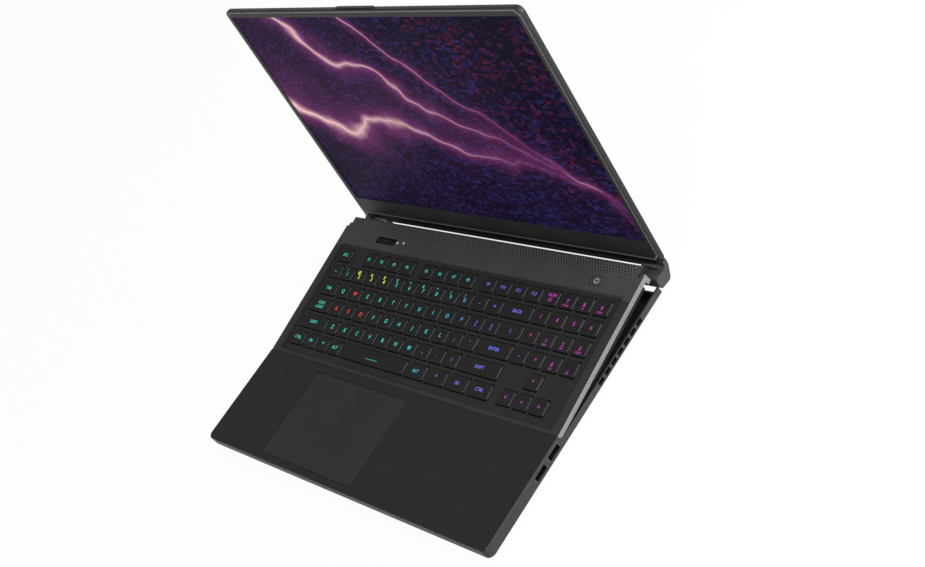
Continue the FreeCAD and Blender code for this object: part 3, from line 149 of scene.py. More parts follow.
# Materials
class Nodes:
    """Short calls for building one node material."""

    def __init__(self, name):
        self.material = bpy.data.materials.new(name)
        self.material.use_nodes = True
        self.tree = self.material.node_tree
        self.shader = self.tree.nodes["Principled BSDF"]

    def add(self, kind, **sockets):
        node = self.tree.nodes.new(kind)
        for key, value in sockets.items():
            node.inputs[key.replace("_", " ")].default_value = value
        return node

    def link(self, source, target):
        self.tree.links.new(source, target)

    def ramp(self, source, stops):
        node = self.tree.nodes.new("ShaderNodeValToRGB")
        ramp = node.color_ramp
        while len(ramp.elements) < len(stops):
            ramp.elements.new(0.5)
        for element, (place, colour) in zip(ramp.elements, stops):
            element.position = place
            element.color = (*colour, 1.0)
        self.link(source, node.inputs["Fac"])
        return node.outputs["Color"]

    def math(self, operation, a, b):
        node = self.tree.nodes.new("ShaderNodeMath")
        node.operation = operation
        for socket, value in zip(node.inputs, (a, b)):
            if isinstance(value, (int, float)):
                socket.default_value = value
            else:
                self.link(value, socket)
        return node.outputs["Value"]

    def place(self):
        return self.tree.nodes.new("ShaderNodeTexCoord").outputs["Object"]

    def bump(self, height, strength, distance):
        node = self.add("ShaderNodeBump", Strength=strength, Distance=distance)
        self.link(height, node.inputs["Height"])
        self.link(node.outputs["Normal"], self.shader.inputs["Normal"])


# Painted light and shade on walls: where walls that face sideways are outer ones and take a painted highlight, how
# dark inner ones are as painted shade, and where the rear shelf begins, whose flat faces take painted light
FLANK_FROM = 194 * MM
SIDEWAYS = 0.6
INNER_SHADE = 0.3
SHELF_FROM = 68.5 * MM

# Grain and cloudiness of every finish
GRAIN_SHARE = 0.6
CLOUD_SCALE = 22.0
TONE_STOPS = (0.3, 0.7)
GLOSS_STOPS = (0.35, 0.65)
GLOSS_SPREAD = 0.025
LEAST_ROUGHNESS = 0.02
BUMP_DEPTH = 0.1 * MM


def painted_wall_light(n, tone, side_wall_light, rear_shelf_light):
    """A tone with painted light and shade: outer walls that face sideways and flat faces on the rear shelf are
    scaled by their light gains, and inner sideways walls are darkened as painted shade.
    """
    turned = n.tree.nodes.new("ShaderNodeSeparateXYZ")
    n.link(n.tree.nodes.new("ShaderNodeTexCoord").outputs["Normal"], turned.inputs["Vector"])
    where = n.tree.nodes.new("ShaderNodeSeparateXYZ")
    n.link(n.place(), where.inputs["Vector"])
    outer = n.math("GREATER_THAN", n.math("ABSOLUTE", where.outputs["X"], 0.0), FLANK_FROM)
    sideways = n.math("GREATER_THAN", n.math("ABSOLUTE", turned.outputs["X"], 0.0), SIDEWAYS)
    # Outer sideways walls take the painted highlight gain, inner ones the painted shade
    change = n.math("ADD", n.math("MULTIPLY", outer, side_wall_light - INNER_SHADE), INNER_SHADE - 1.0)
    walls = n.math("ADD", n.math("MULTIPLY", sideways, change), 1.0)
    flat = n.math("SUBTRACT", 1.0, sideways)
    # Flat faces behind the shelf line take the painted light gain
    behind = n.math("MULTIPLY", flat, n.math("GREATER_THAN", where.outputs["Y"], SHELF_FROM))
    rear = n.math("ADD", n.math("MULTIPLY", behind, rear_shelf_light - 1.0), 1.0)
    gain = n.tree.nodes.new("ShaderNodeVectorMath")
    gain.operation = "SCALE"
    n.link(tone, gain.inputs[0])
    n.link(n.math("MULTIPLY", walls, rear), gain.inputs["Scale"])
    return gain.outputs["Vector"]


def coated(name, colour, roughness, metallic=0.0, grain=2600.0, spread=0.25, bump=0.12,
           stretch=(1, 1, 1), shine=0.25, side_wall_light=1.0, rear_shelf_light=1.0):
    """A painted, anodised or moulded surface with fine grain, faint cloudiness and uneven gloss, with optional
    painted light and shade on its side walls and rear shelf.
    """
    n = Nodes(name)
    mapping = n.tree.nodes.new("ShaderNodeMapping")
    mapping.inputs["Scale"].default_value = stretch
    n.link(n.place(), mapping.inputs["Vector"])
    fine = n.add("ShaderNodeTexNoise", Scale=grain, Detail=3.0)
    cloud = n.add("ShaderNodeTexNoise", Scale=CLOUD_SCALE, Detail=4.0)
    n.link(mapping.outputs["Vector"], fine.inputs["Vector"])
    n.link(n.place(), cloud.inputs["Vector"])
    grained = n.math("MULTIPLY", fine.outputs["Fac"], GRAIN_SHARE)
    both = n.math("ADD", grained, n.math("MULTIPLY", cloud.outputs["Fac"], 1 - GRAIN_SHARE))
    tones = [tuple(c * (1 + s) for c in colour) for s in (-spread, spread)]
    tone = n.ramp(both, list(zip(TONE_STOPS, tones)))
    # Painted light on outer side walls and the rear shelf, painted shade on inner side walls
    if side_wall_light != 1.0:
        tone = painted_wall_light(n, tone, side_wall_light, rear_shelf_light)
    n.link(tone, n.shader.inputs["Base Color"])
    levels = [(max(LEAST_ROUGHNESS, roughness + d),) * 3 for d in (-GLOSS_SPREAD, GLOSS_SPREAD)]
    n.link(n.ramp(cloud.outputs["Fac"], list(zip(GLOSS_STOPS, levels))), n.shader.inputs["Roughness"])
    n.shader.inputs["Metallic"].default_value = metallic
    n.shader.inputs["Specular IOR Level"].default_value = shine
    n.bump(fine.outputs["Fac"], bump, BUMP_DEPTH)
    return n.material


# Backlit lettering is a little uneven
SPECK_SCALE = 900.0
SPECK_SHARE = 0.5
SPECK_LEAST = 0.75
GLOW_ROUGHNESS = 0.5


def glowing(name, strength):
    """Backlit lettering, and glowing lines of painted highlight, whose colour is painted on the mesh."""
    n = Nodes(name)
    paint = n.tree.nodes.new("ShaderNodeVertexColor")
    paint.layer_name = "Glow"
    speck = n.add("ShaderNodeTexNoise", Scale=SPECK_SCALE, Detail=2.0)
    n.link(n.place(), speck.inputs["Vector"])
    uneven = n.math("ADD", n.math("MULTIPLY", speck.outputs["Fac"], SPECK_SHARE), SPECK_LEAST)
    n.link(n.math("MULTIPLY", uneven, strength), n.shader.inputs["Emission Strength"])
    n.link(paint.outputs["Color"], n.shader.inputs["Emission Color"])
    n.link(paint.outputs["Color"], n.shader.inputs["Base Color"])
    n.shader.inputs["Roughness"].default_value = GLOW_ROUGHNESS
    return n.material


# The display's picture: slope, rise and width of each ribbon of light, in metres, and the tiles behind them
RIBBONS = ((0.5, 0.135, 0.006), (0.22, 0.085, 0.009), (0.85, 0.19, 0.004))
RIBBON_DRIFT = 7.0
RIBBON_BEND = 0.16
RIBBON_FALL = 1.3
RIBBON_RAMP = [
    (0.0, (0.004, 0.003, 0.012)),
    (0.12, (0.016, 0.006, 0.022)),
    (0.34, (0.13, 0.026, 0.1)),
    (0.8, (0.95, 0.56, 0.56)),
]
FADE_MIDDLE = 0.5
FADE_ACROSS = 1.9
FADE_LEAST = 0.1
TILE_SIZE = (4.2 * MM, 2.4 * MM, 1.0)
TILE_PATCH = 16.0
TILE_LIMIT = 0.28
TILE_LIGHT = 0.6
TILE_ACROSS = 2.4
TILE_UP = 2.6
TILE_START = 0.15
TILE_RAMP = [(0.0, (0.035, 0.015, 0.1)), (0.45, (0.02, 0.03, 0.2)), (0.6, (0.16, 0.01, 0.03))]
PANEL_BLACK = (0.0025, 0.0025, 0.004, 1)
PANEL_ROUGHNESS = 0.42
PANEL_SHINE = 0.01
PANEL_GRAIN = 4000.0
PANEL_BUMP = 0.04


def screen_material():
    """A lit panel with soft ribbons of violet light over a dark field of small lit tiles."""
    n = Nodes("screen_picture")
    place = n.place()
    split = n.tree.nodes.new("ShaderNodeSeparateXYZ")
    n.link(place, split.inputs["Vector"])
    wide, tall = split.outputs["X"], split.outputs["Y"]
    drift = n.add("ShaderNodeTexNoise", Scale=RIBBON_DRIFT, Detail=3.0)
    n.link(place, drift.inputs["Vector"])
    bend = n.math("MULTIPLY", n.math("SUBTRACT", drift.outputs["Fac"], 0.5), RIBBON_BEND)
    ribbons = []
    for slope, rise, width in RIBBONS:
        line = n.math("SUBTRACT", n.math("ADD", tall, n.math("MULTIPLY", wide, slope)), rise)
        away = n.math("ABSOLUTE", n.math("ADD", line, bend), 0.0)
        ribbons.append(n.math("POWER", n.math("DIVIDE", width, n.math("ADD", away, width)), RIBBON_FALL))
    light = n.math("ADD", n.math("ADD", ribbons[0], ribbons[1]), ribbons[2])
    fade = n.math("SUBTRACT", FADE_MIDDLE, n.math("MULTIPLY", wide, FADE_ACROSS))
    glow = n.math("MULTIPLY", light, n.math("MAXIMUM", fade, FADE_LEAST))
    ribbon_colour = n.ramp(glow, RIBBON_RAMP)
    cells = n.tree.nodes.new("ShaderNodeVectorMath")
    cells.operation = "SNAP"
    cells.inputs[1].default_value = TILE_SIZE
    n.link(place, cells.inputs[0])
    tiles = n.tree.nodes.new("ShaderNodeTexWhiteNoise")
    n.link(cells.outputs["Vector"], tiles.inputs["Vector"])
    patch = n.add("ShaderNodeTexNoise", Scale=TILE_PATCH, Detail=5.0)
    n.link(place, patch.inputs["Vector"])
    chosen = n.tree.nodes.new("ShaderNodeSeparateColor")
    n.link(tiles.outputs["Color"], chosen.inputs["Color"])
    chance = n.math("MULTIPLY", chosen.outputs["Red"], patch.outputs["Fac"])
    lit = n.math("GREATER_THAN", chance, TILE_LIMIT)
    slant = n.math("ADD", n.math("MULTIPLY", wide, TILE_ACROSS), n.math("MULTIPLY", tall, TILE_UP))
    side = n.math("ADD", slant, TILE_START)
    tile_colour = n.ramp(n.math("MULTIPLY", chosen.outputs["Green"], side), TILE_RAMP)
    add = n.tree.nodes.new("ShaderNodeMix")
    add.data_type = "RGBA"
    add.blend_type = "ADD"
    brightness = n.math("MULTIPLY", chosen.outputs["Blue"], TILE_LIGHT)
    n.link(n.math("MULTIPLY", lit, brightness), add.inputs["Factor"])
    n.link(ribbon_colour, add.inputs["A"])
    n.link(tile_colour, add.inputs["B"])
    n.link(add.outputs["Result"], n.shader.inputs["Emission Color"])
    n.shader.inputs["Emission Strength"].default_value = 1.0
    n.shader.inputs["Base Color"].default_value = PANEL_BLACK
    n.shader.inputs["Roughness"].default_value = PANEL_ROUGHNESS
    n.shader.inputs["Specular IOR Level"].default_value = PANEL_SHINE
    grain = n.add("ShaderNodeTexNoise", Scale=PANEL_GRAIN, Detail=1.0)
    n.link(place, grain.inputs["Vector"])
    n.bump(grain.outputs["Fac"], PANEL_BUMP, BUMP_DEPTH)
    return n.material


MATERIALS = {
    # The case and deck carry painted highlights on their outer side walls and painted shade on inner ones; the
    # deck's rear shelf carries painted light
    "case": coated("case_charcoal", (0.019, 0.0187, 0.0194), 0.46, shine=0.12, side_wall_light=2.5),
    "deck": coated("deck_charcoal", (0.031, 0.0304, 0.0314), 0.44, stretch=(0.25, 1, 1), shine=0.16,
                   side_wall_light=6.5, rear_shelf_light=1.7),
    "lid": coated("lid_brushed", (0.036, 0.036, 0.0375), 0.42, metallic=0.5, stretch=(0.06, 1, 1),
                  shine=0.2),
    "bezel": coated("bezel_matt", (0.029, 0.029, 0.03), 0.5, shine=0.2),
    "hinge": coated("hinge_satin", (0.07, 0.07, 0.072), 0.4, metallic=0.4),
    "strip": coated("strip_metal", (0.085, 0.084, 0.085), 0.44, metallic=0.2, shine=0.3),
    "trim": coated("trim_grey", (0.2, 0.2, 0.2), 0.5),
    "steel": coated("socket_steel", (0.2, 0.2, 0.205), 0.36, metallic=1.0, stretch=(0.1, 1, 1)),
    "dark": coated("inner_black", (0.006, 0.006, 0.007), 0.6),
    "cap": coated("keycap_soft", (0.0155, 0.0155, 0.016), 0.5, grain=4200.0, bump=0.2, shine=0.12),
    "well": coated("well_black", (0.02, 0.0197, 0.0202), 0.5, shine=0.17),
    "pad": coated("touchpad_glass", (0.024, 0.0234, 0.024), 0.4, grain=5200.0, bump=0.05, shine=0.17),
    "rubber": coated("rubber_black", (0.012, 0.012, 0.012), 0.75, grain=1800.0, bump=0.3),
    "board": coated("board_green", (0.012, 0.05, 0.03), 0.4, grain=500.0),
    "cell": coated("cell_wrap", (0.02, 0.02, 0.022), 0.35, grain=700.0),
    "copper": coated("pipe_copper", (0.55, 0.25, 0.13), 0.28, metallic=1.0),
    "fins": coated("fin_aluminium", (0.5, 0.5, 0.52), 0.33, metallic=1.0),
    "lens": coated("lens_black", (0.008, 0.008, 0.012), 0.12, bump=0.0),
    "legend": glowing("legend_glow", 0.34),
    # The caps' edge lines glow as a painted highlight
    "edge_highlight": glowing("painted_edge_highlight", 0.6),
    "icon": glowing("icon_glow", 0.35),
    "screen": screen_material(),
}
SLOT_MATERIAL = {
    "case_coat": "case", "lid_metal": "lid", "deck_metal": "deck", "hinge_metal": "hinge", "steel": "steel",
    "dark_plastic": "dark", "keycap": "cap", "screen": "screen", "pad_glass": "pad", "bezel": "bezel",
    "rubber": "rubber", "circuit": "board", "cell": "cell", "copper": "copper", "fins": "fins",
    "lens": "lens",
}
OWN_MATERIAL = {
    # The media wheel and its bearings take the near-black inner finish as painted shade for their deep slot
    "key_surround": "well", "switch_plate": "dark", "hinge_brackets": "hinge", "media_wheel": "dark",
    "wheel_bearings": "dark", "lid_gasket": "trim",
}

# Nodes whose edges are softened
SOFT_NODES = (
    "touchpad", "lid_back_cover", "rear_exhaust", "left_hinge_arm", "right_hinge_arm", "rubber_feet",
)
WELD_WITHIN = 0.01 * MM
SOFT_EDGE = 0.3 * MM
SOFT_STEPS = 2
SHARP_FROM = math.radians(40)


def dress_nodes():
    """Gives each CAD node the finish of its slot and softens the edges of some outer ones."""
    slots = {s["node"]: s["material_slot"] for s in frame["record"]["subparts"]}
    for name, node in frame["nodes"].items():
        key = OWN_MATERIAL.get(name, SLOT_MATERIAL[slots[name]])
        node.data.materials.clear()
        node.data.materials.append(MATERIALS[key])
    for name in SOFT_NODES:
        weld = frame["nodes"][name].modifiers.new("weld", "WELD")
        weld.merge_threshold = WELD_WITHIN
        bevel = frame["nodes"][name].modifiers.new("soft_edges", "BEVEL")
        bevel.width = SOFT_EDGE
        bevel.segments = SOFT_STEPS
        bevel.limit_method = "ANGLE"
        bevel.angle_limit = SHARP_FROM


# Keycaps
CAP_CORNER = 1.7 * MM
CAP_LEAST_CORNER = 0.4 * MM
CAP_STEPS = 5
KEY_JOIN = 0.1 * MM

# How far each ring of a cap lies inside its foot and below its top, in millimetres
CAP_RINGS = ((0.32, 0.55), (0.42, 0.25), (0.62, 0.06), (0.95, 0.0), (1.9, 0.06), (4.2, 0.14))

# Pale glowing lines along a cap's sides, a painted highlight on the caps' side walls
EDGE_LOW = 1.0 * MM
EDGE_HIGH = 1.25 * MM
EDGE_OUT = 0.06 * MM
HIGHLIGHT_GREY = (0.075, 0.075, 0.075)
HIGHLIGHT_GREYNESS = 0.96


def merged(spans):
    """Stretches that overlapping spans cover together, in order."""
    joined = []
    for low, high in sorted(spans):
        if not joined or low > joined[-1][1] + KEY_JOIN:
            joined.append([low, high])
        joined[-1][1] = max(joined[-1][1], high)
    return joined


def key_rects(node):
    """Each cap of a node as (x0, x1, y0, y1, foot, top) in deck axes, rear row first, left to right."""
    mesh = frame["nodes"][node].data
    points = [DECK.inverted() @ v.co for v in mesh.vertices]
    foot, top = min(p.z for p in points), max(p.z for p in points)
    faces = [[points[i] for i in polygon.vertices] for polygon in mesh.polygons]

    def spans(axis, chosen):
        return [(min(p[axis] for p in face), max(p[axis] for p in face)) for face in chosen]

    rects = []
    for y0, y1 in reversed(merged(spans(1, faces))):
        row = [face for face in faces if y0 <= face[0].y <= y1]
        rects += [(x0, x1, y0, y1, foot, top) for x0, x1 in merged(spans(0, row))]
    return rects


def rounded_ring(bm, x0, x1, y0, y1, z, radius):
    """A ring of vertices round a rectangle with rounded corners, in deck axes."""
    ring = []
    corners = [(x1 - radius, y1 - radius, 0), (x0 + radius, y1 - radius, 1), (x0 + radius, y0 + radius, 2),
               (x1 - radius, y0 + radius, 3)]
    for x, y, quarter in corners:
        for i in range(CAP_STEPS + 1):
            a = math.pi / 2 * (quarter + i / CAP_STEPS)
            ring.append(bm.verts.new(DECK @ Vector((x + radius * math.cos(a), y + radius * math.sin(a), z))))
    return ring


def bridge(bm, low, high):
    """Faces between two rings of equal count."""
    for i in range(len(low)):
        bm.faces.new((low[i - 1], low[i], high[i], high[i - 1]))


def add_cap(bm, rect):
    """One keycap: tapered sides, a rolled upper edge and a shallow dish."""
    x0, x1, y0, y1, foot, top = rect
    levels = [(0.0, foot)] + [(inset * MM, top - below * MM) for inset, below in CAP_RINGS]
    rings = []
    for i, z in levels:
        radius = max(CAP_CORNER - i * 0.5, CAP_LEAST_CORNER)
        rings.append(rounded_ring(bm, x0 + i, x1 - i, y0 + i, y1 - i, z, radius))
    for low, high in zip(rings, rings[1:]):
        bridge(bm, low, high)
    bm.faces.new(rings[-1])
    bm.faces.new(list(reversed(rings[0])))


def painted(mesh, colours):
    """Paints each face of a mesh with its own glow colour."""
    layer = mesh.color_attributes.new("Glow", "FLOAT_COLOR", "CORNER")
    for polygon, colour in zip(mesh.polygons, colours):
        for loop in polygon.loop_indices:
            layer.data[loop].color = (*colour, 1.0)
    mesh.materials.clear()


# Share of its size by which lettering is thickened, and the steps of its curves
STROKE = 0.012
LETTER_STEPS = 2


def add_text(bm, words, size, x, y, z, matrix):
    """Adds lettering to a bmesh, centred on a point of a plane, and gives back its faces."""
    curve = bpy.data.curves.new("words", "FONT")
    curve.body = words
    curve.size = size
    curve.align_x = "CENTER"
    curve.align_y = "CENTER"
    curve.resolution_u = LETTER_STEPS
    curve.offset = size * STROKE
    holder = bpy.data.objects.new("words", curve)
    bpy.context.scene.collection.objects.link(holder)
    bpy.context.view_layer.update()
    mesh = bpy.data.meshes.new_from_object(holder.evaluated_get(bpy.context.evaluated_depsgraph_get()))
    mesh.transform(matrix @ Matrix.Translation((x, y, z)))
    before = len(bm.faces)
    bm.from_mesh(mesh)
    bm.faces.ensure_lookup_table()
    bpy.data.objects.remove(holder)
    bpy.data.meshes.remove(mesh)
    bpy.data.curves.remove(curve)
    return bm.faces[before:]


LEGEND_SIZE = 5.4 * MM
WORD_SIZE = 4.3 * MM
SMALL_SIZE = 2.4 * MM
LEGEND_SINK = 0.02 * MM
LEGEND_DROP = 0.8 * MM

# Where a second legend stands from the middle of its cap
PAD_SECOND = (0.0, -4.4 * MM)
ROW_SECOND = (-2.2 * MM, 3.6 * MM)


def legend_colour(words, x):
    """The colour of one legend."""
    if words in YELLOW_KEYS:
        return YELLOW
    return RED if words in RED_KEYS else zone_colour(x)


def add_edge_highlights(bm, rect):
    """Thin pale lines along the left and right side of a cap, which glow as a painted highlight."""
    x0, x1, y0, y1, foot, _ = rect
    low, high = foot + EDGE_LOW, foot + EDGE_HIGH
    front, rear = y0 + CAP_CORNER, y1 - CAP_CORNER
    for edge, out in ((x0, -EDGE_OUT), (x1, EDGE_OUT)):
        outer, inner = edge + out, edge - out
        ends = [(outer, front, low), (outer, rear, low), (inner, rear, high), (inner, front, high)]
        bm.faces.new([bm.verts.new(DECK @ Vector(p)) for p in ends])


def build_keys():
    """Replaces every key node by rounded caps, with pale edge lines that glow as a painted highlight and glowing
    legends on each.
    """
    for node, words in LEGENDS.items():
        caps, edge_highlight_strips, marks = bmesh.new(), bmesh.new(), bmesh.new()
        highlight_colours, mark_colours = [], []
        on_pad = node == "numpad_keys"
        second = SECOND_LEGENDS.get(node, [""] * len(words))
        for rect, first, other in zip(key_rects(node), words, second):
            x0, x1, y0, y1, _, top = rect
            add_cap(caps, rect)
            add_edge_highlights(edge_highlight_strips, rect)
            x, y = (x0 + x1) / 2, (y0 + y1) / 2
            # Edge lines: nearly grey with a trace of the backlight's colour, a painted highlight
            highlight_colours += [mix(zone_colour(x), HIGHLIGHT_GREY, HIGHLIGHT_GREYNESS)] * 2
            colour = zone_colour(x) if on_pad else legend_colour(first, x)
            size = LEGEND_SIZE if len(first) == 1 else WORD_SIZE
            rise = top - LEGEND_SINK
            drop = -LEGEND_DROP if other else 0.0
            faces = add_text(marks, first, size, x, y + drop, rise, DECK)
            mark_colours += [colour] * len(faces)
            if other:
                small = SMALL_SIZE if on_pad else WORD_SIZE
                dx, dy = PAD_SECOND if on_pad else ROW_SECOND
                faces = add_text(marks, other, small, x + dx, y + dy, rise, DECK)
                mark_colours += [colour] * len(faces)
        cap_piece = new_object(node + "_caps", mesh_from(caps, node + "_caps"), node, smooth=True)
        cap_piece.data.materials.append(MATERIALS["cap"])
        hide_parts(node)
        for suffix, bm, colours, material in (("_edge_highlights", edge_highlight_strips, highlight_colours, "edge_highlight"),
                                              ("_legends", marks, mark_colours, "legend")):
            mesh = mesh_from(bm, node + suffix)
            painted(mesh, colours)
            mesh.materials.append(MATERIALS[material])
            new_object(node + suffix, mesh, node)


# Perforated strip
HOLE_PITCH = 3.3 * MM
HOLE_ROW = 2.3 * MM
HOLE_RADIUS = 1.05 * MM
HOLE_SIDES = 8
LEFT_RIM = (6, 5, 4, 3, 2)
RIGHT_RIM = (2, 1, 0, 7, 6)
STRIP_DEPTH = 0.6 * MM
SHEET_BELOW = 0.68 * MM
SHEET_THICK = 0.1 * MM


def deck_box(node):
    """The lowest and highest corner of a node in deck axes."""
    points = [DECK.inverted() @ v.co for v in frame["nodes"][node].data.vertices]
    low = Vector(min(p[i] for p in points) for i in range(3))
    high = Vector(max(p[i] for p in points) for i in range(3))
    return low, high


def build_grille():
    """Replaces the coarse strip by one with staggered rows of round holes and a dark sheet below it, a painted
    shade seen through the holes.
    """
    low, high = deck_box("vent_grille")
    columns = round((high.x - low.x) / HOLE_PITCH)
    rows = max(1, round((high.y - low.y) / HOLE_ROW))
    half, dy = (high.x - low.x) / columns / 2, (high.y - low.y) / rows
    bm = bmesh.new()

    def at(x, y, z):
        return bm.verts.new(DECK @ Vector((x, y, z)))

    def level(z):
        """One face of the strip: gives back its border and the rims of its holes."""
        across = [low.x + i * half for i in range(2 * columns + 1)]
        grid = [[at(x, low.y + j * dy, z) for x in across] for j in range(rows + 1)]
        rims = []
        for j in range(rows):
            bottom, top = grid[j], grid[j + 1]
            start = j % 2
            if start:
                for i in (0, 2 * columns - 1):
                    bm.faces.new((bottom[i], bottom[i + 1], top[i + 1], top[i]))
            for i in range(start, 2 * columns - start, 2):
                x, y = low.x + (i + 1) * half, low.y + (j + 0.5) * dy
                rim = [at(x + HOLE_RADIUS * math.cos(a), y + HOLE_RADIUS * math.sin(a), z) for a in angles]
                left = [top[i + 1], top[i], bottom[i], bottom[i + 1]]
                right = [bottom[i + 1], bottom[i + 2], top[i + 2], top[i + 1]]
                bm.faces.new(left + [rim[k] for k in LEFT_RIM])
                bm.faces.new(right + [rim[k] for k in RIGHT_RIM])
                rims.append(rim)
        last, first = [row[-1] for row in grid[1:-1]], [row[0] for row in grid[-2:0:-1]]
        return [grid[0] + last + grid[-1][::-1] + first] + rims

    angles = [2 * math.pi * k / HOLE_SIDES for k in range(HOLE_SIDES)]
    for under, over in zip(level(high.z - STRIP_DEPTH), level(high.z)):
        bridge(bm, under, over)
    bmesh.ops.recalc_face_normals(bm, faces=bm.faces)
    strip = new_object("perforated_strip", mesh_from(bm, "perforated_strip"), "deck")
    strip.data.materials.append(MATERIALS["strip"])
    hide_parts("vent_grille")
    # A near-black sheet just below the strip gives the holes painted shade
    bm = bmesh.new()
    z = high.z - SHEET_BELOW
    corners = ((low.x, low.y), (high.x, low.y), (high.x, high.y), (low.x, high.y))
    ring = [DECK @ Vector((x, y, z)) for x, y in corners]
    top = [bm.verts.new(p) for p in ring]
    bottom = [bm.verts.new(p - DECK_NORMAL * SHEET_THICK) for p in ring]
    bridge(bm, bottom, top)
    bm.faces.new(top)
    bm.faces.new(list(reversed(bottom)))
    sheet = new_object("hole_shade_sheet", mesh_from(bm, "hole_shade_sheet"), "deck")
    sheet.data.materials.append(MATERIALS["dark"])


# Cup below the media wheel
CUP_SIDE = 1.2 * MM
CUP_DROP = 0.5 * MM
CUP_WALL = 0.3 * MM


def build_wheel_cup():
    """A dark open box round the lower half of the wheel, so that its slot shows no daylight."""
    low, high = deck_box("media_wheel")
    middle = (low.z + high.z) / 2
    bm = bmesh.new()

    def ring(out, z):
        x0, x1, y0, y1 = low.x - out, high.x + out, low.y - out, high.y + out
        return [bm.verts.new(DECK @ Vector((x, y, z))) for x, y in ((x0, y0), (x1, y0), (x1, y1), (x0, y1))]

    shell = [ring(CUP_SIDE + CUP_WALL, low.z - CUP_DROP - CUP_WALL), ring(CUP_SIDE + CUP_WALL, middle)]
    shell += [ring(CUP_SIDE, middle), ring(CUP_SIDE, low.z - CUP_DROP)]
    for a, b in zip(shell, shell[1:]):
        bridge(bm, a, b)
    bm.faces.new(shell[0])
    bm.faces.new(shell[-1])
    bmesh.ops.recalc_face_normals(bm, faces=bm.faces)
    cup = new_object("wheel_cup", mesh_from(bm, "wheel_cup"), "deck")
    cup.data.materials.append(MATERIALS["dark"])


# Screen
SCREEN_ACROSS = 24
SCREEN_UP = 14
SCREEN_GAP = 0.02 * MM


def lid_points(node):
    """A node's corners in the closed lid's axes about the hinge."""
    return [LID.inverted() @ v.co for v in frame["nodes"][node].data.vertices]


def build_screen():
    """Lays the lit picture on the panel's face, in the panel's own axes."""
    points = lid_points("display_panel")
    low = Vector(min(p[i] for p in points) for i in range(3))
    high = Vector(max(p[i] for p in points) for i in range(3))
    bm = bmesh.new()
    half_x, half_y = (high.x - low.x) / 2, (high.y - low.y) / 2
    nx, ny = SCREEN_ACROSS, SCREEN_UP
    grid = []
    for j in range(ny + 1):
        y = 2 * half_y * j / ny
        grid.append([bm.verts.new((half_x * (2 * i / nx - 1), y, 0.0)) for i in range(nx + 1)])
    for j in range(ny):
        for i in range(nx):
            bm.faces.new((grid[j][i], grid[j][i + 1], grid[j + 1][i + 1], grid[j + 1][i]))
    mesh = mesh_from(bm, "screen_picture")
    piece = bpy.data.objects.new("screen_picture", mesh)
    bpy.context.scene.collection.objects.link(piece)
    face = low.z - SCREEN_GAP
    axes = Matrix(((1, 0, 0), (0, -1, 0), (0, 0, -1))).to_4x4()
    piece.matrix_world = LID @ Matrix.Translation(((low.x + high.x) / 2, high.y, face)) @ axes
    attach(piece, "lid")
    mesh.materials.append(MATERIALS["screen"])


# Hinge plates and seal
PLATE_IN = 167.5 * MM
PLATE_OUT = 190.8 * MM
PLATE_DROP = 6.6 * MM
PLATE_DEEP = 2.8 * MM
PLATE_EDGE = 0.6 * MM
PLATE_STEPS = 3
PLATE_BELOW = 0.05 * MM
SEAL_DROP = 0.9 * MM
LAP = 1.0 * MM


def tail_piece(name, x0, x1, drop, material):
    """A rounded bar that carries the lid's tail on by a drop, between two places across."""
    points = lid_points("lid_back_cover")
    end, top = max(p.y for p in points), max(p.z for p in points)
    size = Vector((x1 - x0, drop + LAP, PLATE_DEEP))
    centre = Vector(((x0 + x1) / 2, end + (drop - LAP) / 2, top - PLATE_DEEP / 2 - PLATE_BELOW))
    bm = bmesh.new()
    bmesh.ops.create_cube(bm, size=1.0)
    for v in bm.verts:
        v.co = LID @ (centre + Vector(v.co[i] * size[i] for i in range(3)))
    bmesh.ops.bevel(bm, geom=bm.edges[:], offset=PLATE_EDGE, segments=PLATE_STEPS, affect="EDGES")
    piece = new_object(name, mesh_from(bm, name), "lid", smooth=True)
    piece.data.materials.append(MATERIALS[material])


def build_tail():
    """Plates beside the hinge barrels and a soft seal between them."""
    tail_piece("left_hinge_plate", -PLATE_OUT, -PLATE_IN, PLATE_DROP, "hinge")
    tail_piece("right_hinge_plate", PLATE_IN, PLATE_OUT, PLATE_DROP, "hinge")
    tail_piece("lid_seal", -PLATE_IN, PLATE_IN, SEAL_DROP, "bezel")


# Icons on the control strip
ICON_LIFT = 0.02 * MM
STATUS_LIFT = 0.1 * MM
POWER_INNER = 2.0 * MM
POWER_OUTER = 2.35 * MM
POWER_STEPS = 28
POWER_FROM = math.radians(125)
POWER_TURN = math.radians(290)
POWER_BAR_HALF = 0.25 * MM
POWER_BAR = (0.9 * MM, 2.9 * MM)
STATUS_SIZE = 5.2 * MM
STATUS_MARKS = (("+", -108.0 * MM), ("*", -99.5 * MM))


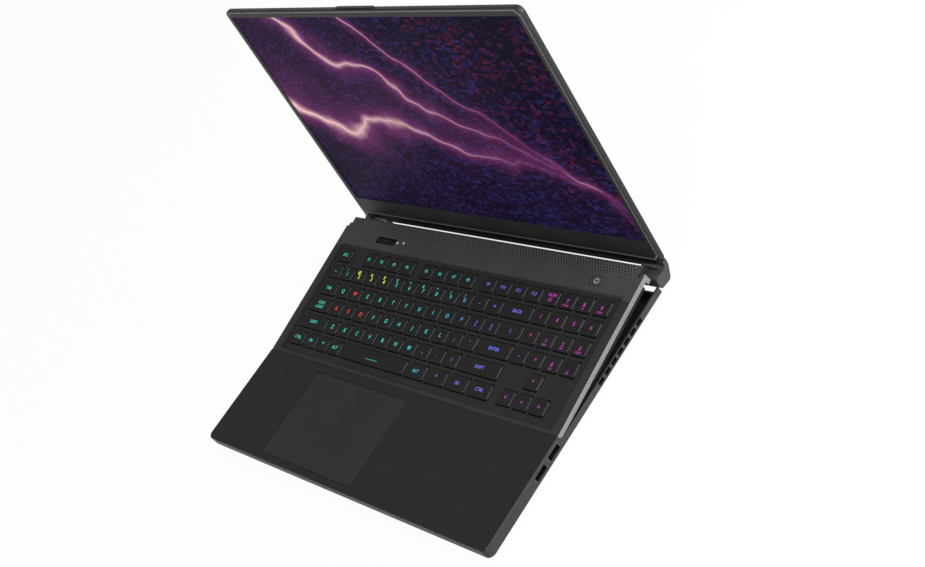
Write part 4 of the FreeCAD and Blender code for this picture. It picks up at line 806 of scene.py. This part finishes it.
def build_icons():
    """The power mark on its button and two status marks beside the wheel."""
    low, high = deck_box("power_button")
    x, y, z = (low.x + high.x) / 2, (low.y + high.y) / 2, high.z + ICON_LIFT
    bm = bmesh.new()

    def at(dx, dy):
        return bm.verts.new(DECK @ Vector((x + dx, y + dy, z)))

    rings = []
    for i in range(POWER_STEPS + 1):
        a = POWER_FROM + POWER_TURN * i / POWER_STEPS
        rings.append([at(r * math.cos(a), r * math.sin(a)) for r in (POWER_INNER, POWER_OUTER)])
    for a, b in zip(rings, rings[1:]):
        bm.faces.new((a[0], a[1], b[1], b[0]))
    foot, tip = POWER_BAR
    half = POWER_BAR_HALF
    bm.faces.new([at(-half, foot), at(half, foot), at(half, tip), at(-half, tip)])
    mesh = mesh_from(bm, "power_mark")
    painted(mesh, [POWER_GREY] * len(mesh.polygons))
    mesh.materials.append(MATERIALS["icon"])
    new_object("power_mark", mesh, "power_button")
    bm = bmesh.new()
    colours = []
    for words, place in STATUS_MARKS:
        faces = add_text(bm, words, STATUS_SIZE, place, y, z + STATUS_LIFT, DECK)
        colours += [WHITE] * len(faces)
    mesh = mesh_from(bm, "status_marks")
    painted(mesh, colours)
    mesh.materials.append(MATERIALS["icon"])
    new_object("status_marks", mesh, "deck")


# Stage
def area_light(name, place, aim, size, power):
    """A large soft lamp."""
    data = bpy.data.lights.new(name, "AREA")
    data.shape = "RECTANGLE"
    data.size, data.size_y = size
    data.energy = power
    lamp = bpy.data.objects.new(name, data)
    lamp.location = place
    lamp.rotation_euler = (Vector(aim) - Vector(place)).to_track_quat("-Z", "Y").to_euler()
    bpy.context.scene.collection.objects.link(lamp)


# The floor's radius and height at each ring of its upturned edge, in metres
FLOOR_RINGS = ((11.0, 0.0), (12.0, 0.3), (12.4, 1.0), (12.5, 3.5))
FLOOR_SIDES = 64
FLOOR_BELOW = 0.5 * MM
FLOOR_WHITE = 0.95
FLOOR_COLOUR = (0.9, 0.9, 0.9, 1)
FLOOR_ROUGHNESS = 0.9

# World strength, then each lamp's name, place, aim, size and power
WORLD_LIGHT = 0.36
LAMPS = (
    ("key", (0.7, -0.5, 1.5), (0.1, 0, 0.05), (1.4, 1.2), 12.0),
    ("side", (1.25, 0.45, 0.5), (0.1, 0.05, 0.05), (1.2, 0.9), 11.0),
    ("rear", (-0.3, 1.7, 1.2), (0, 0, 0.05), (1.6, 0.8), 3.0),
    ("fill", (0.6, 0.25, 0.4), (0.1, 0.05, 0.03), (0.5, 0.4), 1.8),
)


def build_floor():
    """A pale floor with an upturned edge that shows as white to the camera and keeps a soft shadow."""
    bm = bmesh.new()
    turns = [2 * math.pi * k / FLOOR_SIDES for k in range(FLOOR_SIDES)]
    rings = [[bm.verts.new((r * math.cos(a), r * math.sin(a), z)) for a in turns] for r, z in FLOOR_RINGS]
    bm.faces.new(rings[0])
    for inner, outer in zip(rings, rings[1:]):
        bridge(bm, outer, inner)
    floor = bpy.data.objects.new("floor", mesh_from(bm, "floor"))
    floor.location.z = -FLOOR_BELOW
    bpy.context.scene.collection.objects.link(floor)
    n = Nodes("floor_white")
    n.shader.inputs["Base Color"].default_value = FLOOR_COLOUR
    n.shader.inputs["Roughness"].default_value = FLOOR_ROUGHNESS
    white = n.add("ShaderNodeEmission", Strength=1.0)
    path = n.tree.nodes.new("ShaderNodeLightPath")
    seen = n.math("MAXIMUM", path.outputs["Is Camera Ray"], path.outputs["Is Glossy Ray"])
    seen = n.math("MAXIMUM", seen, path.outputs["Is Transmission Ray"])
    blend = n.tree.nodes.new("ShaderNodeMixShader")
    n.link(n.math("MULTIPLY", seen, FLOOR_WHITE), blend.inputs[0])
    n.link(n.shader.outputs["BSDF"], blend.inputs[1])
    n.link(white.outputs["Emission"], blend.inputs[2])
    n.link(blend.outputs["Shader"], n.tree.nodes["Material Output"].inputs["Surface"])
    floor.data.materials.append(n.material)


def build_light():
    """Soft world light with three large lamps and a nearer one at the right."""
    world = bpy.data.worlds.new("studio")
    bpy.context.scene.world = world
    world.use_nodes = True
    background = world.node_tree.nodes["Background"]
    background.inputs["Color"].default_value = (1, 1, 1, 1)
    background.inputs["Strength"].default_value = WORLD_LIGHT
    for lamp in LAMPS:
        area_light(*lamp)


def build_camera():
    """The photograph's view, rolled about its line of sight."""
    data = bpy.data.cameras.new("camera")
    data.sensor_width = SENSOR
    data.lens = FOCAL_PIXELS * SENSOR / IMAGE_WIDTH
    data.clip_start, data.clip_end = CLIP
    camera = bpy.data.objects.new("camera", data)
    camera.location = CAMERA_PLACE
    upright = (CAMERA_AIM - CAMERA_PLACE).to_track_quat("-Z", "Y").to_matrix().to_4x4()
    camera.rotation_euler = (upright @ Matrix.Rotation(math.radians(CAMERA_ROLL), 4, "Z")).to_euler()
    bpy.context.scene.collection.objects.link(camera)
    bpy.context.scene.camera = camera


build_camera()
dress_nodes()
build_keys()
build_grille()
build_wheel_cup()
build_screen()
build_tail()
build_icons()
build_floor()
build_light()
bpy.context.scene.view_settings.view_transform = "Standard"
